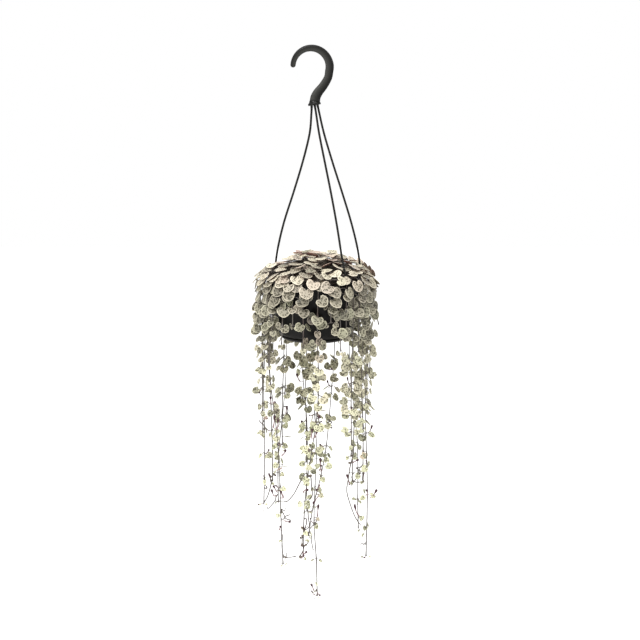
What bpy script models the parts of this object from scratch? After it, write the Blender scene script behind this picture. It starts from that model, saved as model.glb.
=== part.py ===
"""A string of hearts in a black hanging pot: hook, three strands, pot, saucer, soil and leafy stems.

All sizes and places below are in millimetres, and each mesh is made in metres.
The origin is the point of the crook that bears on whatever holds the pot up.
+Z is up, and the front is toward -Y.
"""

import math
from dataclasses import dataclass, replace

import bpy
import numpy as np

METRES = 0.001
SEED = 9009
GAP = 0.3

# Hook
CROOK_RADIUS = 19.6
CROOK_TIP_ANGLE = 174.0
CROOK_FOOT_ANGLE = -13.0
TIP_WIDTH = 6.9
CROOK_WIDTH = 10.9
HOOK_DEPTH = 7.4
HOOK_SIDES = 8
HOOK_SQUARENESS = 0.7
CROOK_BENDS = 11
CROOK_THINNING = 0.8
TIP_ROUNDING = [(3.0, 0.45, 0.40), (2.1, 0.86, 0.76)]
NECK = [(23.7, -33.3, 10.9, 7.8), (17.9, -44.0, 11.2, 8.6), (11.9, -51.0, 11.6, 9.6),
        (7.2, -57.6, 12.2, 10.8), (5.6, -63.0, 12.4, 12.0)]
COLLAR = (5.2, -68.2)
COLLAR_TILT = 8.3
COLLAR_RADIUS = 8.4
COLLAR_THICKNESS = 2.8
COLLAR_EDGE = 0.6
COLLAR_ROOT_RADIUS = 7.7
SOCKET_RADIUS = 1.6
SOCKET_DEPTH = 7.0

# Pot
AXIS_X = 6.4
RIM_Z = -296.0
FLANGE_RADIUS = 65.5
FLANGE_THICKNESS = 2.6
FLANGE_SKIRT = 5.5
MOUTH_RADIUS = 57.8
WALL = 1.5
SHOULDER_RADIUS = 59.2
CORNER_TOP = (51.5, -66.0)
BASE_RADIUS = 37.0
POT_HEIGHT = 79.1
SOIL_DEPTH = 12.0
WAIST = (56.4, -36.0)
RIM_BEVEL = 1.2
POT_SIDES = 28
DRAIN_RADIUS = 3.5
DRAIN_CIRCLE = 24.0
SOIL_SIDES = 16

# Saucer
SAUCER_RADIUS = 47.9
SAUCER_FLOOR_RADIUS = 42.5
SAUCER_HEIGHT = 4.6
SAUCER_WALL = 1.3
SAUCER_SIDES = 28

# Strands: where each leaves the collar, as (across, toward the back), and its bearing round the rim.
# Each one's fall is a list of (share of the height, share of the way out), and its foot a list of heights.
STRAND_RADIUS = 1.1
STRAND_SIDES = 5
STRAND_HOLE_RADIUS = 1.75
STRAND_SEAT_RADIUS = 61.7
STRANDS = {
    "strand_left": ((-3.9, 1.6), -117.0),
    "strand_front": ((0.2, -2.6), 39.0),
    "strand_right": ((3.9, 1.6), 102.0),
}
STRAND_FALL = [(0.05, 0.018), (0.16, 0.10), (0.32, 0.29), (0.50, 0.53), (0.68, 0.745), (0.84, 0.895)]
STRAND_FOOT = [10.0, 3.0, -5.2]
BUTTON = [(0.0, -3.4), (1.4, -3.1), (2.0, -2.2), (2.0, -0.8), (1.6, 0.0), (0.0, 0.0)]
BUTTON_SIDES = 7

# Crown of leaves: its section as (radius, height above the rim), and how the leaves tile it
CROWN = [(0.0, 35.0), (20.0, 32.0), (40.0, 25.5), (58.0, 17.5), (70.0, 9.5), (77.0, 0.5), (80.0, -9.0),
         (80.5, -22.0)]
CROWN_TILE = 0.25
FIRST_TILE = 11.5
TILE_STEP = 9.4
TILE_SPACING = 20.8
CROWN_RUN = 106.0
CROWN_TRIES = 30
LEAF_WIDTH = 18.0

# Stems: how they lie under the crown, cross the rim and hang
STEM_DEPTH = 10.0
STEM_BEND = 14.0
STEM_RADIUS = 1.1
STEM_SIDES = 3
STEM_STARTS = (20.0, 48.0, 34.0)
SPRIG_REACH = 19.0
OVER_RIM = [(65.0, 6.2), (69.3, 2.4)]
LATE_DRIFT = {"stem_05": 2.2, "stem_21": 3.6}
HANG_RADIUS = 70.5
HANG_TOP = 6.0
HOLE_DEPTH = 14.0
HOLE_RADIUS = 2.4

# Leaves: half of the heart's outline in widths, from the notch round to the tip
HEART_LARGE = [(0.27, -0.20), (0.50, 0.12), (0.36, 0.47)]
HEART_SMALL = [(0.30, -0.20), (0.48, 0.26)]
LARGE_WIDTH = 15.5
HEART_TIP = 0.66
HEART_CENTRE = 0.23
BLADE = 0.9
STALK_WIDTH = 1.3
ROOT_WIDTH = 0.5
ROOT_STEP = 1.5
FIRST_PAIR = 22.0
SINGLE_WIDTH = 15.0
PAIR_TRIES = 24
PAIR_TURNS = ((82.0, -98.0), (18.0, -150.0))
FACING = (0.6, 0.7, 0.3)
HANGING_WIDTHS = [(0, 17.0), (60, 15.6), (100, 14.4), (180, 13.0), (250, 11.2), (330, 8.4), (500, 5.4)]
TIP_LENGTH = 55.0


@dataclass(frozen=True)
class Stem:
    """One stem: its bearing round the pot (0 front, + right), its drop below the rim and its drift."""

    name: str
    bearing: float
    start: float
    drop: float
    drift: tuple
    spacing: float


def stem_list():
    """Every stem of the plant, placed by hand: bearing, drop below the rim, sideways drift, node spacing."""
    hanging = [
        (-50, 62, (0, 0), 25), (-37, 78, (0, 0), 26), (-25, 52, (0, 0), 24), (-14, 80, (0, 0), 26),
        (3, 368, (-22, 4), 38), (15, 48, (0, 0), 24), (26, 86, (0, 0), 26), (35, 58, (0, 0), 25),
        (44, 233, (-3, 0), 34), (54, 92, (0, 0), 27), (63, 200, (0, 0), 32), (73, 387, (2, 0), 42),
        (84, 130, (2, 0), 30), (95, 186, (1, 0), 31), (104, 62, (0, 0), 25), (114, 294, (1, 0), 40),
        (122, 100, (0, 0), 28), (131, 302, (0, 0), 40), (140, 376, (17, 0), 43), (149, 92, (0, 0), 28),
        (159, 387, (-34, -14), 44), (169, 82, (0, 0), 27), (-178, 488, (3, 0), 52), (-171, 279, (-3, -6), 42),
        (-163, 356, (10, 3), 43), (-156, 70, (0, 0), 26), (-149, 339, (-17, 2), 42), (-141, 250, (-2, 0), 38),
        (-133, 84, (0, 0), 27), (-123, 110, (0, 0), 28), (-113, 295, (5, 0), 36), (-103, 140, (0, 0), 29),
        (-93, 320, (0, 0), 35), (-84, 212, (-2, 0), 29), (-75, 150, (0, 0), 28), (-66, 395, (21, 0), 37),
        (-58, 112, (0, 0), 27),
    ]
    stems = [Stem(f"stem_{i + 1:02d}", bearing, STEM_STARTS[i % 3], drop, drift, spacing)
             for i, (bearing, drop, drift, spacing) in enumerate(hanging)]
    sprigs = [(10, 6), (130, 6), (261, 6), (68, 14), (188, 14), (316, 14)]
    stems += [Stem(f"sprig_{i + 1}", bearing, start, 0, (0, 0), 10)
              for i, (bearing, start) in enumerate(sprigs)]
    return stems


def outward(bearing):
    """The level unit vector from the pot's axis toward a bearing."""
    angle = math.radians(bearing)
    return np.array([math.sin(angle), -math.cos(angle), 0.0])


def crown_height(radius):
    """Height of the crown's surface over the rim at a radius."""
    return float(np.interp(radius, *np.array(CROWN).T))


def crown_at(run):
    """Radius, height and downward slope of the crown's surface at a run from its top along its section."""
    section = np.array(CROWN)
    length = np.concatenate([[0.0], np.cumsum(np.linalg.norm(np.diff(section, axis=0), axis=1))])
    radius, height = (float(np.interp(run, length, section[:, k])) for k in (0, 1))
    ends = [max(run - 7.0, 0.0), run + 7.0]
    wide, tall = (np.interp(ends, length, section[:, k]) for k in (0, 1))
    return radius, height, math.atan2(tall[0] - tall[1], wide[1] - wide[0])


def stem_points(stem, index):
    """The stem's bends from its hole in the soil to its tip, and the index of the first one that hangs."""
    draw = np.random.default_rng([SEED, index])
    out = outward(stem.bearing)
    side = np.array([-out[1], out[0], 0.0])
    up = np.array([0.0, 0.0, 1.0])
    points = [out * stem.start - up * (SOIL_DEPTH + HOLE_DEPTH - GAP - 0.5),
              out * stem.start - up * (SOIL_DEPTH - 2.0)]
    reach = OVER_RIM[0][0] - 5.0 if stem.drop else stem.start + SPRIG_REACH
    for radius in np.arange(stem.start + 3.0, reach, STEM_BEND):
        points.append(out * radius + up * (crown_height(radius) - STEM_DEPTH))
    if not stem.drop:
        return np.array(points), len(points)
    points += [out * radius + up * height for radius, height in OVER_RIM]
    first = len(points)
    count = max(2, int(round((stem.drop - HANG_TOP) / stem.spacing)) + 1)
    fall = np.linspace(0.0, 1.0, count) ** 1.06
    phase = draw.uniform(0, 2 * math.pi, 2)
    sway = draw.uniform(1.2, 2.4, 2)
    for k, share in enumerate(fall):
        depth = HANG_TOP + (stem.drop - HANG_TOP) * share
        ease = (share * share * (3 - 2 * share)) ** LATE_DRIFT.get(stem.name, 1.0)
        swing = min(1.0, depth / 60.0)
        place = out * (HANG_RADIUS + 1.2 * share)
        place = place + side * swing * sway[0] * math.sin(phase[0] + depth / 34.0)
        place = place + out * swing * sway[1] * math.sin(phase[1] + depth / 41.0) * 0.7
        place = place + np.array([stem.drift[0] * ease, stem.drift[1] * ease, -depth])
        points.append(place)
    return np.array(points), first


@dataclass(frozen=True)
class Leaf:
    """One leaf: the points its stalk runs between, the blade's axis and normal, and its width."""

    root: np.ndarray
    notch: np.ndarray
    axis: np.ndarray
    normal: np.ndarray
    width: float
    spare: bool = False


def unit(vector):
    return vector / np.linalg.norm(vector)


def disc_pattern():
    """Sample points over a unit disc, as columns across and along."""
    rings = [(0.0, 1), (0.36, 6), (0.70, 11), (1.0, 18)]
    rows = [(r * math.cos(2 * math.pi * k / n), r * math.sin(2 * math.pi * k / n))
            for r, n in rings for k in range(n)]
    return np.array(rows)


def gaps(points, centres, normals, radii):
    """Distance from each point to each flat disc."""
    away = points[:, None, :] - centres[None, :, :]
    height = np.einsum("pdk,dk->pd", away, normals)
    flat = np.sqrt(np.maximum((away**2).sum(axis=2) - height**2, 0.0))
    return np.hypot(height, np.maximum(flat - radii, 0.0))


class Room:
    """What is placed already: blades as discs, and stems, stalks and strands as rows of round points."""

    BLADE_GAP = 1.25
    THREAD_GAP = 0.85

    def __init__(self):
        self.pattern = disc_pattern()
        self.centres = np.zeros((0, 3))
        self.normals = np.zeros((0, 3))
        self.radii = np.zeros(0)
        self.samples = np.zeros((0, len(self.pattern), 3))
        self.threads = np.zeros((0, 3))
        self.thread_radii = np.zeros(0)

    def add_thread(self, points, radius):
        self.threads = np.vstack([self.threads, points])
        self.thread_radii = np.append(self.thread_radii, np.full(len(points), radius))

    def disc(self, leaf):
        centre = leaf.notch + leaf.axis * leaf.width * HEART_CENTRE
        across = np.cross(leaf.axis, leaf.normal)
        flat = self.pattern * leaf.width / 2
        return centre, centre + flat[:, :1] * across + flat[:, 1:] * leaf.axis

    def stalk(self, leaf):
        return leaf.root + (leaf.notch - leaf.root) * np.linspace(0.0, 0.9, 6)[:, None]

    def add_leaf(self, leaf):
        centre, samples = self.disc(leaf)
        self.centres = np.vstack([self.centres, centre])
        self.normals = np.vstack([self.normals, leaf.normal])
        self.radii = np.append(self.radii, leaf.width / 2)
        self.samples = np.concatenate([self.samples, samples[None]])
        self.add_thread(self.stalk(leaf)[1:], 0.6)

    def fits(self, leaf):
        """True where the leaf clears the pot, every other blade and every thread away from its own root."""
        centre, samples = self.disc(leaf)
        half = leaf.width / 2
        if self.hits_pot(samples, 1.3):
            return False
        near = np.linalg.norm(self.centres - centre, axis=1) < self.radii + half + self.BLADE_GAP
        one = (centre[None], leaf.normal[None], np.array([half]))
        if near.any():
            if gaps(samples, self.centres[near], self.normals[near], self.radii[near]).min() < self.BLADE_GAP:
                return False
            if gaps(self.samples[near].reshape(-1, 3), *one).min() < self.BLADE_GAP:
                return False
        apart = np.linalg.norm(self.threads - leaf.root, axis=1) > 3.2
        close = apart & (np.linalg.norm(self.threads - centre, axis=1) < half + 3.0)
        room = self.thread_radii[close] + self.THREAD_GAP
        if close.any() and (gaps(self.threads[close], *one)[:, 0] < room).any():
            return False
        stalk = self.stalk(leaf)
        reach = np.linalg.norm(self.centres - leaf.notch, axis=1) < self.radii + 12.0
        if reach.any():
            apart_of = gaps(stalk, self.centres[reach], self.normals[reach], self.radii[reach])
            if apart_of.min() < 0.7 + self.THREAD_GAP:
                return False
        if close.any():
            spans = np.linalg.norm(stalk[2:, None] - self.threads[close][None], axis=2)
            if (spans < self.thread_radii[close] + 1.2).any():
                return False
        return True

    @staticmethod
    def hits_pot(points, clear):
        """True where a point lies in the pot or its flange, or closer than a clearance."""
        radius = np.hypot(points[:, 0], points[:, 1])
        wall = np.interp(-points[:, 2], [-1.5, 0.0, FLANGE_SKIRT, FLANGE_SKIRT + 0.1, POT_HEIGHT + 3.0],
                         [FLANGE_RADIUS, FLANGE_RADIUS, FLANGE_RADIUS, SHOULDER_RADIUS, SAUCER_RADIUS])
        beside = (points[:, 2] < clear) & (points[:, 2] > -POT_HEIGHT - 4.0)
        return bool((beside & (radius < wall + clear)).any())


def leaf_from(root, centre, normal, width, turn):
    """A leaf whose blade lies about a centre, its axis led from the root and turned in its plane, or None."""
    flat = centre - root
    flat = flat - normal * (flat @ normal)
    if np.linalg.norm(flat) < 2.0:
        return None
    axis = unit(flat)
    axis = unit(axis * math.cos(turn) + np.cross(normal, axis) * math.sin(turn))
    notch = centre - axis * width * HEART_CENTRE
    back = root - notch
    behind = -(back @ axis)
    aside = abs(back @ np.cross(axis, normal))
    below = -(back @ normal)
    if behind < 1.4 or aside > 0.85 * behind or below < -0.3 * behind or below > 2.5 * behind:
        return None
    return Leaf(root, notch, axis, normal, width)


def crown_slots():
    """The places of the crown's leaves, ring by ring: (distance from the top along the section, bearing)."""
    slots = [(0.0, 0.0)]
    for ring, run in enumerate(np.arange(FIRST_TILE, CROWN_RUN, TILE_STEP)):
        count = int(2 * math.pi * crown_at(run)[0] / TILE_SPACING)
        slots += [(run, 360.0 * (k + 0.5 * (ring % 2)) / count + 23.0 * ring) for k in range(count)]
    return slots


def crown_roots(routes):
    """Places on the stems under the crown where a leaf may grow, and the stem that each is on."""
    places, owners = [], []
    for i, (points, first) in enumerate(routes):
        run = dense(points[1:first + 3], 1.5)
        run = run[(run[:, 2] > 2.0) | (np.arange(len(run)) > len(run) // 2)]
        places.append(run)
        owners += [i] * len(run)
    return np.concatenate(places), np.array(owners)


def grow_crown(routes, room, leaves):
    """Covers the crown with leaves laid like tiles, each on a stem that passes beneath it."""
    places, owners = crown_roots(routes)
    up = np.array([0.0, 0.0, 1.0])
    for index, (run, bearing) in enumerate(crown_slots()):
        draw = np.random.default_rng([SEED, 1000 + index])
        for attempt in range(CROWN_TRIES):
            loose = max(0.12, 0.8 - attempt / 22)
            radius, height, slope = crown_at(abs(run + draw.normal(0, 2.6) * loose))
            out = outward(bearing + math.degrees(draw.normal(0, 3.0) * loose / max(radius, 7.0)))
            side = np.array([-out[1], out[0], 0.0])
            lean = slope - CROWN_TILE * min(1.0, run) + draw.normal(0, 0.22) * loose
            normal = unit(out * math.sin(lean) + up * math.cos(lean) + side * draw.normal(0, 0.25) * loose)
            width = LEAF_WIDTH + draw.normal(0, 1.2) * loose
            lift = draw.uniform(-3.4, 3.4) * loose + (2.2 if run == 0 else 0.0)
            centre = out * radius + up * height + (out * math.sin(slope) + up * math.cos(slope)) * lift
            lead = out * math.cos(slope) - up * math.sin(slope) + side * draw.normal(0, 0.45)
            flat = unit(lead - normal * (lead @ normal))
            ideal = centre - flat * (HEART_CENTRE * width + 4.5) - normal * 6.0
            far = np.linalg.norm(places - ideal, axis=1)
            for k in nearest_of_each(far, owners, 4):
                leaf = leaf_from(places[k], centre, normal, width, draw.normal(0, 0.25))
                if leaf is not None and room.fits(leaf):
                    room.add_leaf(leaf)
                    leaves[owners[k]].append(leaf)
                    break
            else:
                continue
            break


def nearest_of_each(far, owners, count):
    """The nearest place on each of the few nearest stems."""
    picked, seen = [], set()
    for k in np.argsort(far, kind="stable"):
        if owners[k] not in seen:
            seen.add(owners[k])
            picked.append(k)
        if len(picked) == count or far[k] > 9.0:
            break
    return picked


def hanging_width(depth, left):
    """Leaf width by depth below the rim and by the length of stem that is left below it."""
    usual = np.interp(depth, *np.array(HANGING_WIDTHS).T)
    return usual * (0.55 + 0.45 * min(1.0, left / TIP_LENGTH))


def grow_hanging(stems, routes, room, leaves):
    """Sets leaves in pairs at the bends of each hanging stem, each pair turned a quarter from the last."""
    longest = max(len(points) - first for points, first in routes)
    for level in range(longest):
        for i, stem in enumerate(stems):
            points, first = routes[i]
            if first + level >= len(points):
                continue
            if -points[first + level][2] < FIRST_PAIR:
                continue
            bend = points[first + level]
            before = points[first + level - 1]
            place_pair(i, stem, bend + unit(before - bend) * ROOT_STEP, level, room, leaves)


def place_pair(i, stem, root, level, room, leaves):
    """Sets the pair of leaves of one bend, trying other turns of each until it clears what is there."""
    depth = -root[2]
    down = np.array([0, 0, -1.0])
    face = unit(FACING[0] * outward(stem.bearing) + FACING[1] * outward(0.0) - FACING[2] * down)
    turns = PAIR_TURNS[level % 2]
    for half in range(2):
        draw = np.random.default_rng([SEED, 5000 + i, level, half])
        width = hanging_width(depth, stem.drop - depth) * draw.uniform(0.88, 1.1)
        base = math.radians(stem.bearing + turns[half])
        for attempt in range(PAIR_TRIES):
            angle = base + draw.normal(0, 0.3 + 0.08 * attempt)
            out = np.array([math.sin(angle), -math.cos(angle), 0.0])
            droop = draw.uniform(0.5, 1.35)
            sink = droop * draw.uniform(0.35, 0.75)
            length = 0.28 * width + draw.uniform(1.8, 4.2)
            notch = root + length * (out * math.cos(sink) + down * math.sin(sink))
            axis = out * math.cos(droop) + down * math.sin(droop)
            normal = out * math.sin(droop) - down * math.cos(droop)
            normal = faced(normal, axis, face, draw.uniform(0.5, 1.0))
            roll = draw.normal(0, 0.2)
            side = np.cross(axis, normal)
            normal = unit(normal * math.cos(roll) + side * math.sin(roll))
            centre = notch + axis * width * HEART_CENTRE
            leaf = leaf_from(root, centre, normal, width, draw.normal(0, 0.3))
            if leaf is None:
                continue
            leaf = replace(leaf, spare=bool(half) or (level % 2 == 1 and width < SINGLE_WIDTH))
            if room.fits(leaf):
                room.add_leaf(leaf)
                leaves[i].append(leaf)
                break


def faced(normal, axis, face, share):
    """The blade's normal rolled about its axis by a share of the way toward the side that it faces."""
    goal = face - axis * (face @ axis)
    angle = share * math.atan2(np.cross(normal, goal) @ axis, normal @ goal)
    return normal * math.cos(angle) + np.cross(axis, normal) * math.sin(angle)


def plan_plant(strand_routes):
    """Every stem's bends and leaves, in the pot's own frame: origin on the axis at the rim."""
    stems = stem_list()
    routes = [stem_points(stem, i) for i, stem in enumerate(stems)]
    room = Room()
    for points, _ in routes:
        room.add_thread(dense(points, 2.0), STEM_RADIUS)
    for route in strand_routes:
        room.add_thread(dense(route, 2.0), STRAND_RADIUS)
    leaves = [[] for _ in stems]
    grow_crown(routes, room, leaves)
    grow_hanging(stems, routes, room, leaves)
    return stems, routes, leaves


def dense(points, step):
    """Points every step along a bent line."""
    points = np.asarray(points, float)
    run = np.concatenate([[0.0], np.cumsum(np.linalg.norm(np.diff(points, axis=0), axis=1))])
    at = np.linspace(0.0, run[-1], max(2, int(run[-1] / step) + 1))
    return np.stack([np.interp(at, run, points[:, k]) for k in range(3)], axis=1)


def in_pot(points):
    """Points of the pot's frame in the part's frame."""
    return np.asarray(points, float) + np.array([AXIS_X, 0.0, RIM_Z])


def material(name, color, roughness):
    """A Principled material in one colour."""
    made = bpy.data.materials.new(name)
    made.use_nodes = True
    shader = made.node_tree.nodes["Principled BSDF"]
    shader.inputs["Base Color"].default_value = (*color, 1.0)
    shader.inputs["Roughness"].default_value = roughness
    made.diffuse_color = (*color, 1.0)
    return made


def add_object(name, vertices, faces, finish=None, smooth=None):
    """An object made from points in millimetres, in the scene's own collection."""
    mesh = bpy.data.meshes.new(name)
    mesh.from_pydata([tuple(v * METRES for v in point) for point in vertices], [], faces)
    if finish is not None:
        mesh.materials.append(finish)
    if smooth is not None:
        mesh.shade_smooth()
        mesh.set_sharp_from_angle(angle=math.radians(smooth))
    made = bpy.data.objects.new(name, mesh)
    bpy.context.scene.collection.objects.link(made)
    return made


def turned(profile, sides, centre):
    """Points and faces of a closed profile of (radius, height) turned about an upright axis."""
    angles = 2 * math.pi * np.arange(sides) / sides
    vertices, rows = [], []
    for radius, height in profile:
        if radius == 0:
            rows.append([len(vertices)] * sides)
            vertices.append((centre[0], centre[1], centre[2] + height))
            continue
        rows.append([len(vertices) + k for k in range(sides)])
        vertices += [(centre[0] + radius * math.cos(a), centre[1] + radius * math.sin(a), centre[2] + height)
                     for a in angles]
    faces = []
    for row, after in zip(rows, rows[1:]):
        for k in range(sides):
            ring = [row[k], row[(k + 1) % sides], after[(k + 1) % sides], after[k]]
            faces.append(list(dict.fromkeys(ring)))
    return vertices, faces


def swept(route, sections):
    """Points and faces of outlines carried along a route, each a ring of points round its own centre."""
    rings = [np.asarray(section) + np.asarray(point) for point, section in zip(route, sections)]
    count = len(rings[0])
    vertices = np.concatenate(rings)
    faces = [
        [a * count + k, a * count + (k + 1) % count, (a + 1) * count + (k + 1) % count, (a + 1) * count + k]
        for a in range(len(rings) - 1)
        for k in range(count)
    ]
    faces += [list(range(count))[::-1], [(len(rings) - 1) * count + k for k in range(count)]]
    return vertices, faces


def tube(route, radius, sides):
    """A round bar along a route, with its rings square to the way it runs."""
    route = np.asarray(route, float)
    ways = np.gradient(route, axis=0)
    ways /= np.linalg.norm(ways, axis=1)[:, None]
    lead = np.cross(ways[0], [1.0, 0.0, 0.0])
    if np.linalg.norm(lead) < 0.1:
        lead = np.cross(ways[0], [0.0, 1.0, 0.0])
    angles = 2 * math.pi * np.arange(sides) / sides
    sections = []
    for way in ways:
        lead = unit(lead - way * (lead @ way))
        across = np.cross(way, lead)
        sections.append([radius * (math.cos(a) * lead + math.sin(a) * across) for a in angles])
    return swept(route, sections)


def apply_boolean(target, others, operation, solver="EXACT"):
    """Cuts a list of closed solids from an object or fuses them to it, and removes them."""
    group = bpy.data.collections.new("solids")
    bpy.context.scene.collection.children.link(group)
    for other in others:
        bpy.context.scene.collection.objects.unlink(other)
        group.objects.link(other)
    step = target.modifiers.new("boolean", "BOOLEAN")
    step.operation = operation
    step.operand_type = "COLLECTION"
    step.collection = group
    step.solver = solver
    graph = bpy.context.evaluated_depsgraph_get()
    mesh = bpy.data.meshes.new_from_object(target.evaluated_get(graph))
    target.modifiers.clear()
    old = target.data
    target.data = mesh
    mesh.name = old.name
    bpy.data.meshes.remove(old)
    for other in others:
        bpy.data.objects.remove(other)
    bpy.data.collections.remove(group)


def hook_section(width, depth, lead):
    """A rounded oblong ring, its width along a lead direction and its depth along Y."""
    back = np.array([0.0, 1.0, 0.0])
    ring = []
    for k in range(HOOK_SIDES):
        angle = 2 * math.pi * (k + 0.5) / HOOK_SIDES
        c, s = math.cos(angle), math.sin(angle)
        ring.append(lead * width / 2 * math.copysign(abs(c) ** HOOK_SQUARENESS, c)
                    + back * depth / 2 * math.copysign(abs(s) ** HOOK_SQUARENESS, s))
    return ring


def crook_rings():
    """The crook and the neck as rows of (place, way, width, depth), from the tip down to the collar."""
    route, sizes = [], []
    for angle in np.linspace(CROOK_TIP_ANGLE, CROOK_FOOT_ANGLE, CROOK_BENDS):
        share = (CROOK_TIP_ANGLE - angle) / (CROOK_TIP_ANGLE - CROOK_FOOT_ANGLE)
        width = TIP_WIDTH + (CROOK_WIDTH - TIP_WIDTH) * min(1.0, share * 1.1) ** 1.3
        radius = CROOK_RADIUS + width / 2
        turn = math.radians(angle)
        route.append((radius * math.cos(turn), 0.0, radius * math.sin(turn) - CROOK_RADIUS))
        sizes.append((width, HOOK_DEPTH - CROOK_THINNING * (1 - share)))
    route += [(x, 0.0, z) for x, z, _, _ in NECK]
    sizes += [(width, depth) for _, _, width, depth in NECK]
    route = np.array(route)
    ways = np.gradient(route, axis=0)
    ways /= np.linalg.norm(ways, axis=1)[:, None]
    rings = [(route[0] - ways[0] * back, ways[0], TIP_WIDTH * wide, HOOK_DEPTH * deep)
             for back, wide, deep in TIP_ROUNDING]
    return rings + [(place, way, *size) for place, way, size in zip(route, ways, sizes)]


def collar_down():
    """The way the tilted collar faces, down to the strands."""
    tilt = math.radians(COLLAR_TILT)
    return np.array([math.sin(tilt), 0.0, -math.cos(tilt)])


def make_hook(finish):
    """The crook, its neck and the collar that holds the strands, as one moulding."""
    down = collar_down()
    seat = np.array([COLLAR[0], 0.0, COLLAR[1]])
    foot = [(COLLAR_THICKNESS + 1.5 * COLLAR_EDGE, COLLAR_RADIUS - 3 * COLLAR_EDGE),
            (COLLAR_THICKNESS, COLLAR_ROOT_RADIUS), (COLLAR_THICKNESS - COLLAR_EDGE, COLLAR_RADIUS),
            (COLLAR_EDGE, COLLAR_RADIUS), (0.0, COLLAR_RADIUS - COLLAR_EDGE)]
    rings = crook_rings() + [(seat - down * lift, down, 2 * radius, 2 * radius) for lift, radius in foot]
    sections = [hook_section(width, depth, unit(np.cross([0.0, 1.0, 0.0], way)))
                for _, way, width, depth in rings]
    hook = add_object("hook", *swept([ring[0] for ring in rings], sections), finish, 40)
    sockets = []
    for offset, _ in STRANDS.values():
        mouth = socket_mouth(offset)
        ends = [mouth + down * 2.0, mouth - down * SOCKET_DEPTH]
        sockets.append(add_object("socket", *tube(ends, SOCKET_RADIUS, 6)))
    apply_boolean(hook, sockets, "DIFFERENCE")


def socket_mouth(offset):
    """Where a strand leaves the collar's underside."""
    tilt = math.radians(COLLAR_TILT)
    across = offset[0] * np.array([math.cos(tilt), 0.0, math.sin(tilt)])
    return across + [COLLAR[0], offset[1], COLLAR[1]]


def strand_route(name):
    """A strand's run from its socket in the collar to its button below the flange."""
    offset, bearing = STRANDS[name]
    mouth = socket_mouth(offset)
    seat = in_pot(outward(bearing) * STRAND_SEAT_RADIUS)
    level = seat - mouth
    route = [mouth - collar_down() * (SOCKET_DEPTH - 2 * GAP), mouth]
    route += [mouth + level * [reach, reach, share] for share, reach in STRAND_FALL]
    route += [seat + [0.0, 0.0, lift] for lift in STRAND_FOOT]
    return np.array(route)


def make_strand(name, finish):
    """One hanger strand with the button that holds it under the flange."""
    route = strand_route(name)
    strand = add_object(name, *tube(route, STRAND_RADIUS, STRAND_SIDES), finish, 60)
    seat = [route[-1][0], route[-1][1], RIM_Z - FLANGE_THICKNESS - GAP]
    button = add_object("button", *turned(BUTTON, BUTTON_SIDES, seat))
    apply_boolean(strand, [button], "UNION")


def corner_at(angle, inset):
    """A point of the pot's rounded lower corner, by its angle from straight down and its inset."""
    turn = math.radians(angle)
    tall = CORNER_TOP[1] + POT_HEIGHT - inset
    return (BASE_RADIUS + (CORNER_TOP[0] - inset - BASE_RADIUS) * math.sin(turn),
            CORNER_TOP[1] - tall * math.cos(turn))


def pot_profile():
    """The pot's closed section: along the floor, up the outside, over the flange and down the inside."""
    skirt = FLANGE_RADIUS - RIM_BEVEL
    outer = [(0.0, -POT_HEIGHT), (BASE_RADIUS, -POT_HEIGHT), corner_at(34.0, 0.0), corner_at(66.0, 0.0),
             CORNER_TOP, WAIST, (SHOULDER_RADIUS, -FLANGE_THICKNESS), (skirt - 0.2, -FLANGE_THICKNESS),
             (skirt, -FLANGE_SKIRT), (FLANGE_RADIUS, -FLANGE_SKIRT), (FLANGE_RADIUS, -RIM_BEVEL),
             (skirt, 0.0), (MOUTH_RADIUS, 0.0)]
    inner = [(WAIST[0] - WALL, WAIST[1]), (CORNER_TOP[0] - WALL, CORNER_TOP[1]), corner_at(45.0, WALL),
             (BASE_RADIUS, -POT_HEIGHT + WALL), (0.0, -POT_HEIGHT + WALL)]
    return outer + inner


def make_pot(finish):
    """The turned pot, with holes in its flange for the strands and four drain holes in its floor."""
    pot = add_object("pot", *turned(pot_profile(), POT_SIDES, in_pot([0, 0, 0])), finish, 30)
    cutters = []
    for _, bearing in STRANDS.values():
        seat = in_pot(outward(bearing) * STRAND_SEAT_RADIUS)
        ends = [seat + [0, 0, 2.0], seat - [0, 0, FLANGE_THICKNESS + 0.8]]
        cutters.append(add_object("hole", *tube(ends, STRAND_HOLE_RADIUS, 6)))
    for bearing in (45.0, 135.0, 225.0, 315.0):
        low = in_pot(outward(bearing) * DRAIN_CIRCLE) - [0, 0, POT_HEIGHT + 2.0]
        cutters.append(add_object("drain", *tube([low + [0, 0, 6.0], low], DRAIN_RADIUS, 6)))
    apply_boolean(pot, cutters, "DIFFERENCE")


def make_saucer(finish):
    """The shallow dish that clips under the pot."""
    floor = -POT_HEIGHT - GAP - SAUCER_WALL
    top = floor + SAUCER_HEIGHT
    profile = [(0.0, floor), (SAUCER_FLOOR_RADIUS, floor), (SAUCER_FLOOR_RADIUS + 2.6, floor + 0.9),
               (SAUCER_RADIUS - 0.4, top - 1.6), (SAUCER_RADIUS, top), (SAUCER_RADIUS - SAUCER_WALL, top),
               (SAUCER_FLOOR_RADIUS + 2.0, floor + SAUCER_WALL + 0.9),
               (SAUCER_FLOOR_RADIUS - 0.6, floor + SAUCER_WALL), (0.0, floor + SAUCER_WALL)]
    add_object("drip_saucer", *turned(profile, SAUCER_SIDES, in_pot([0, 0, 0])), finish, 30)


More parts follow.
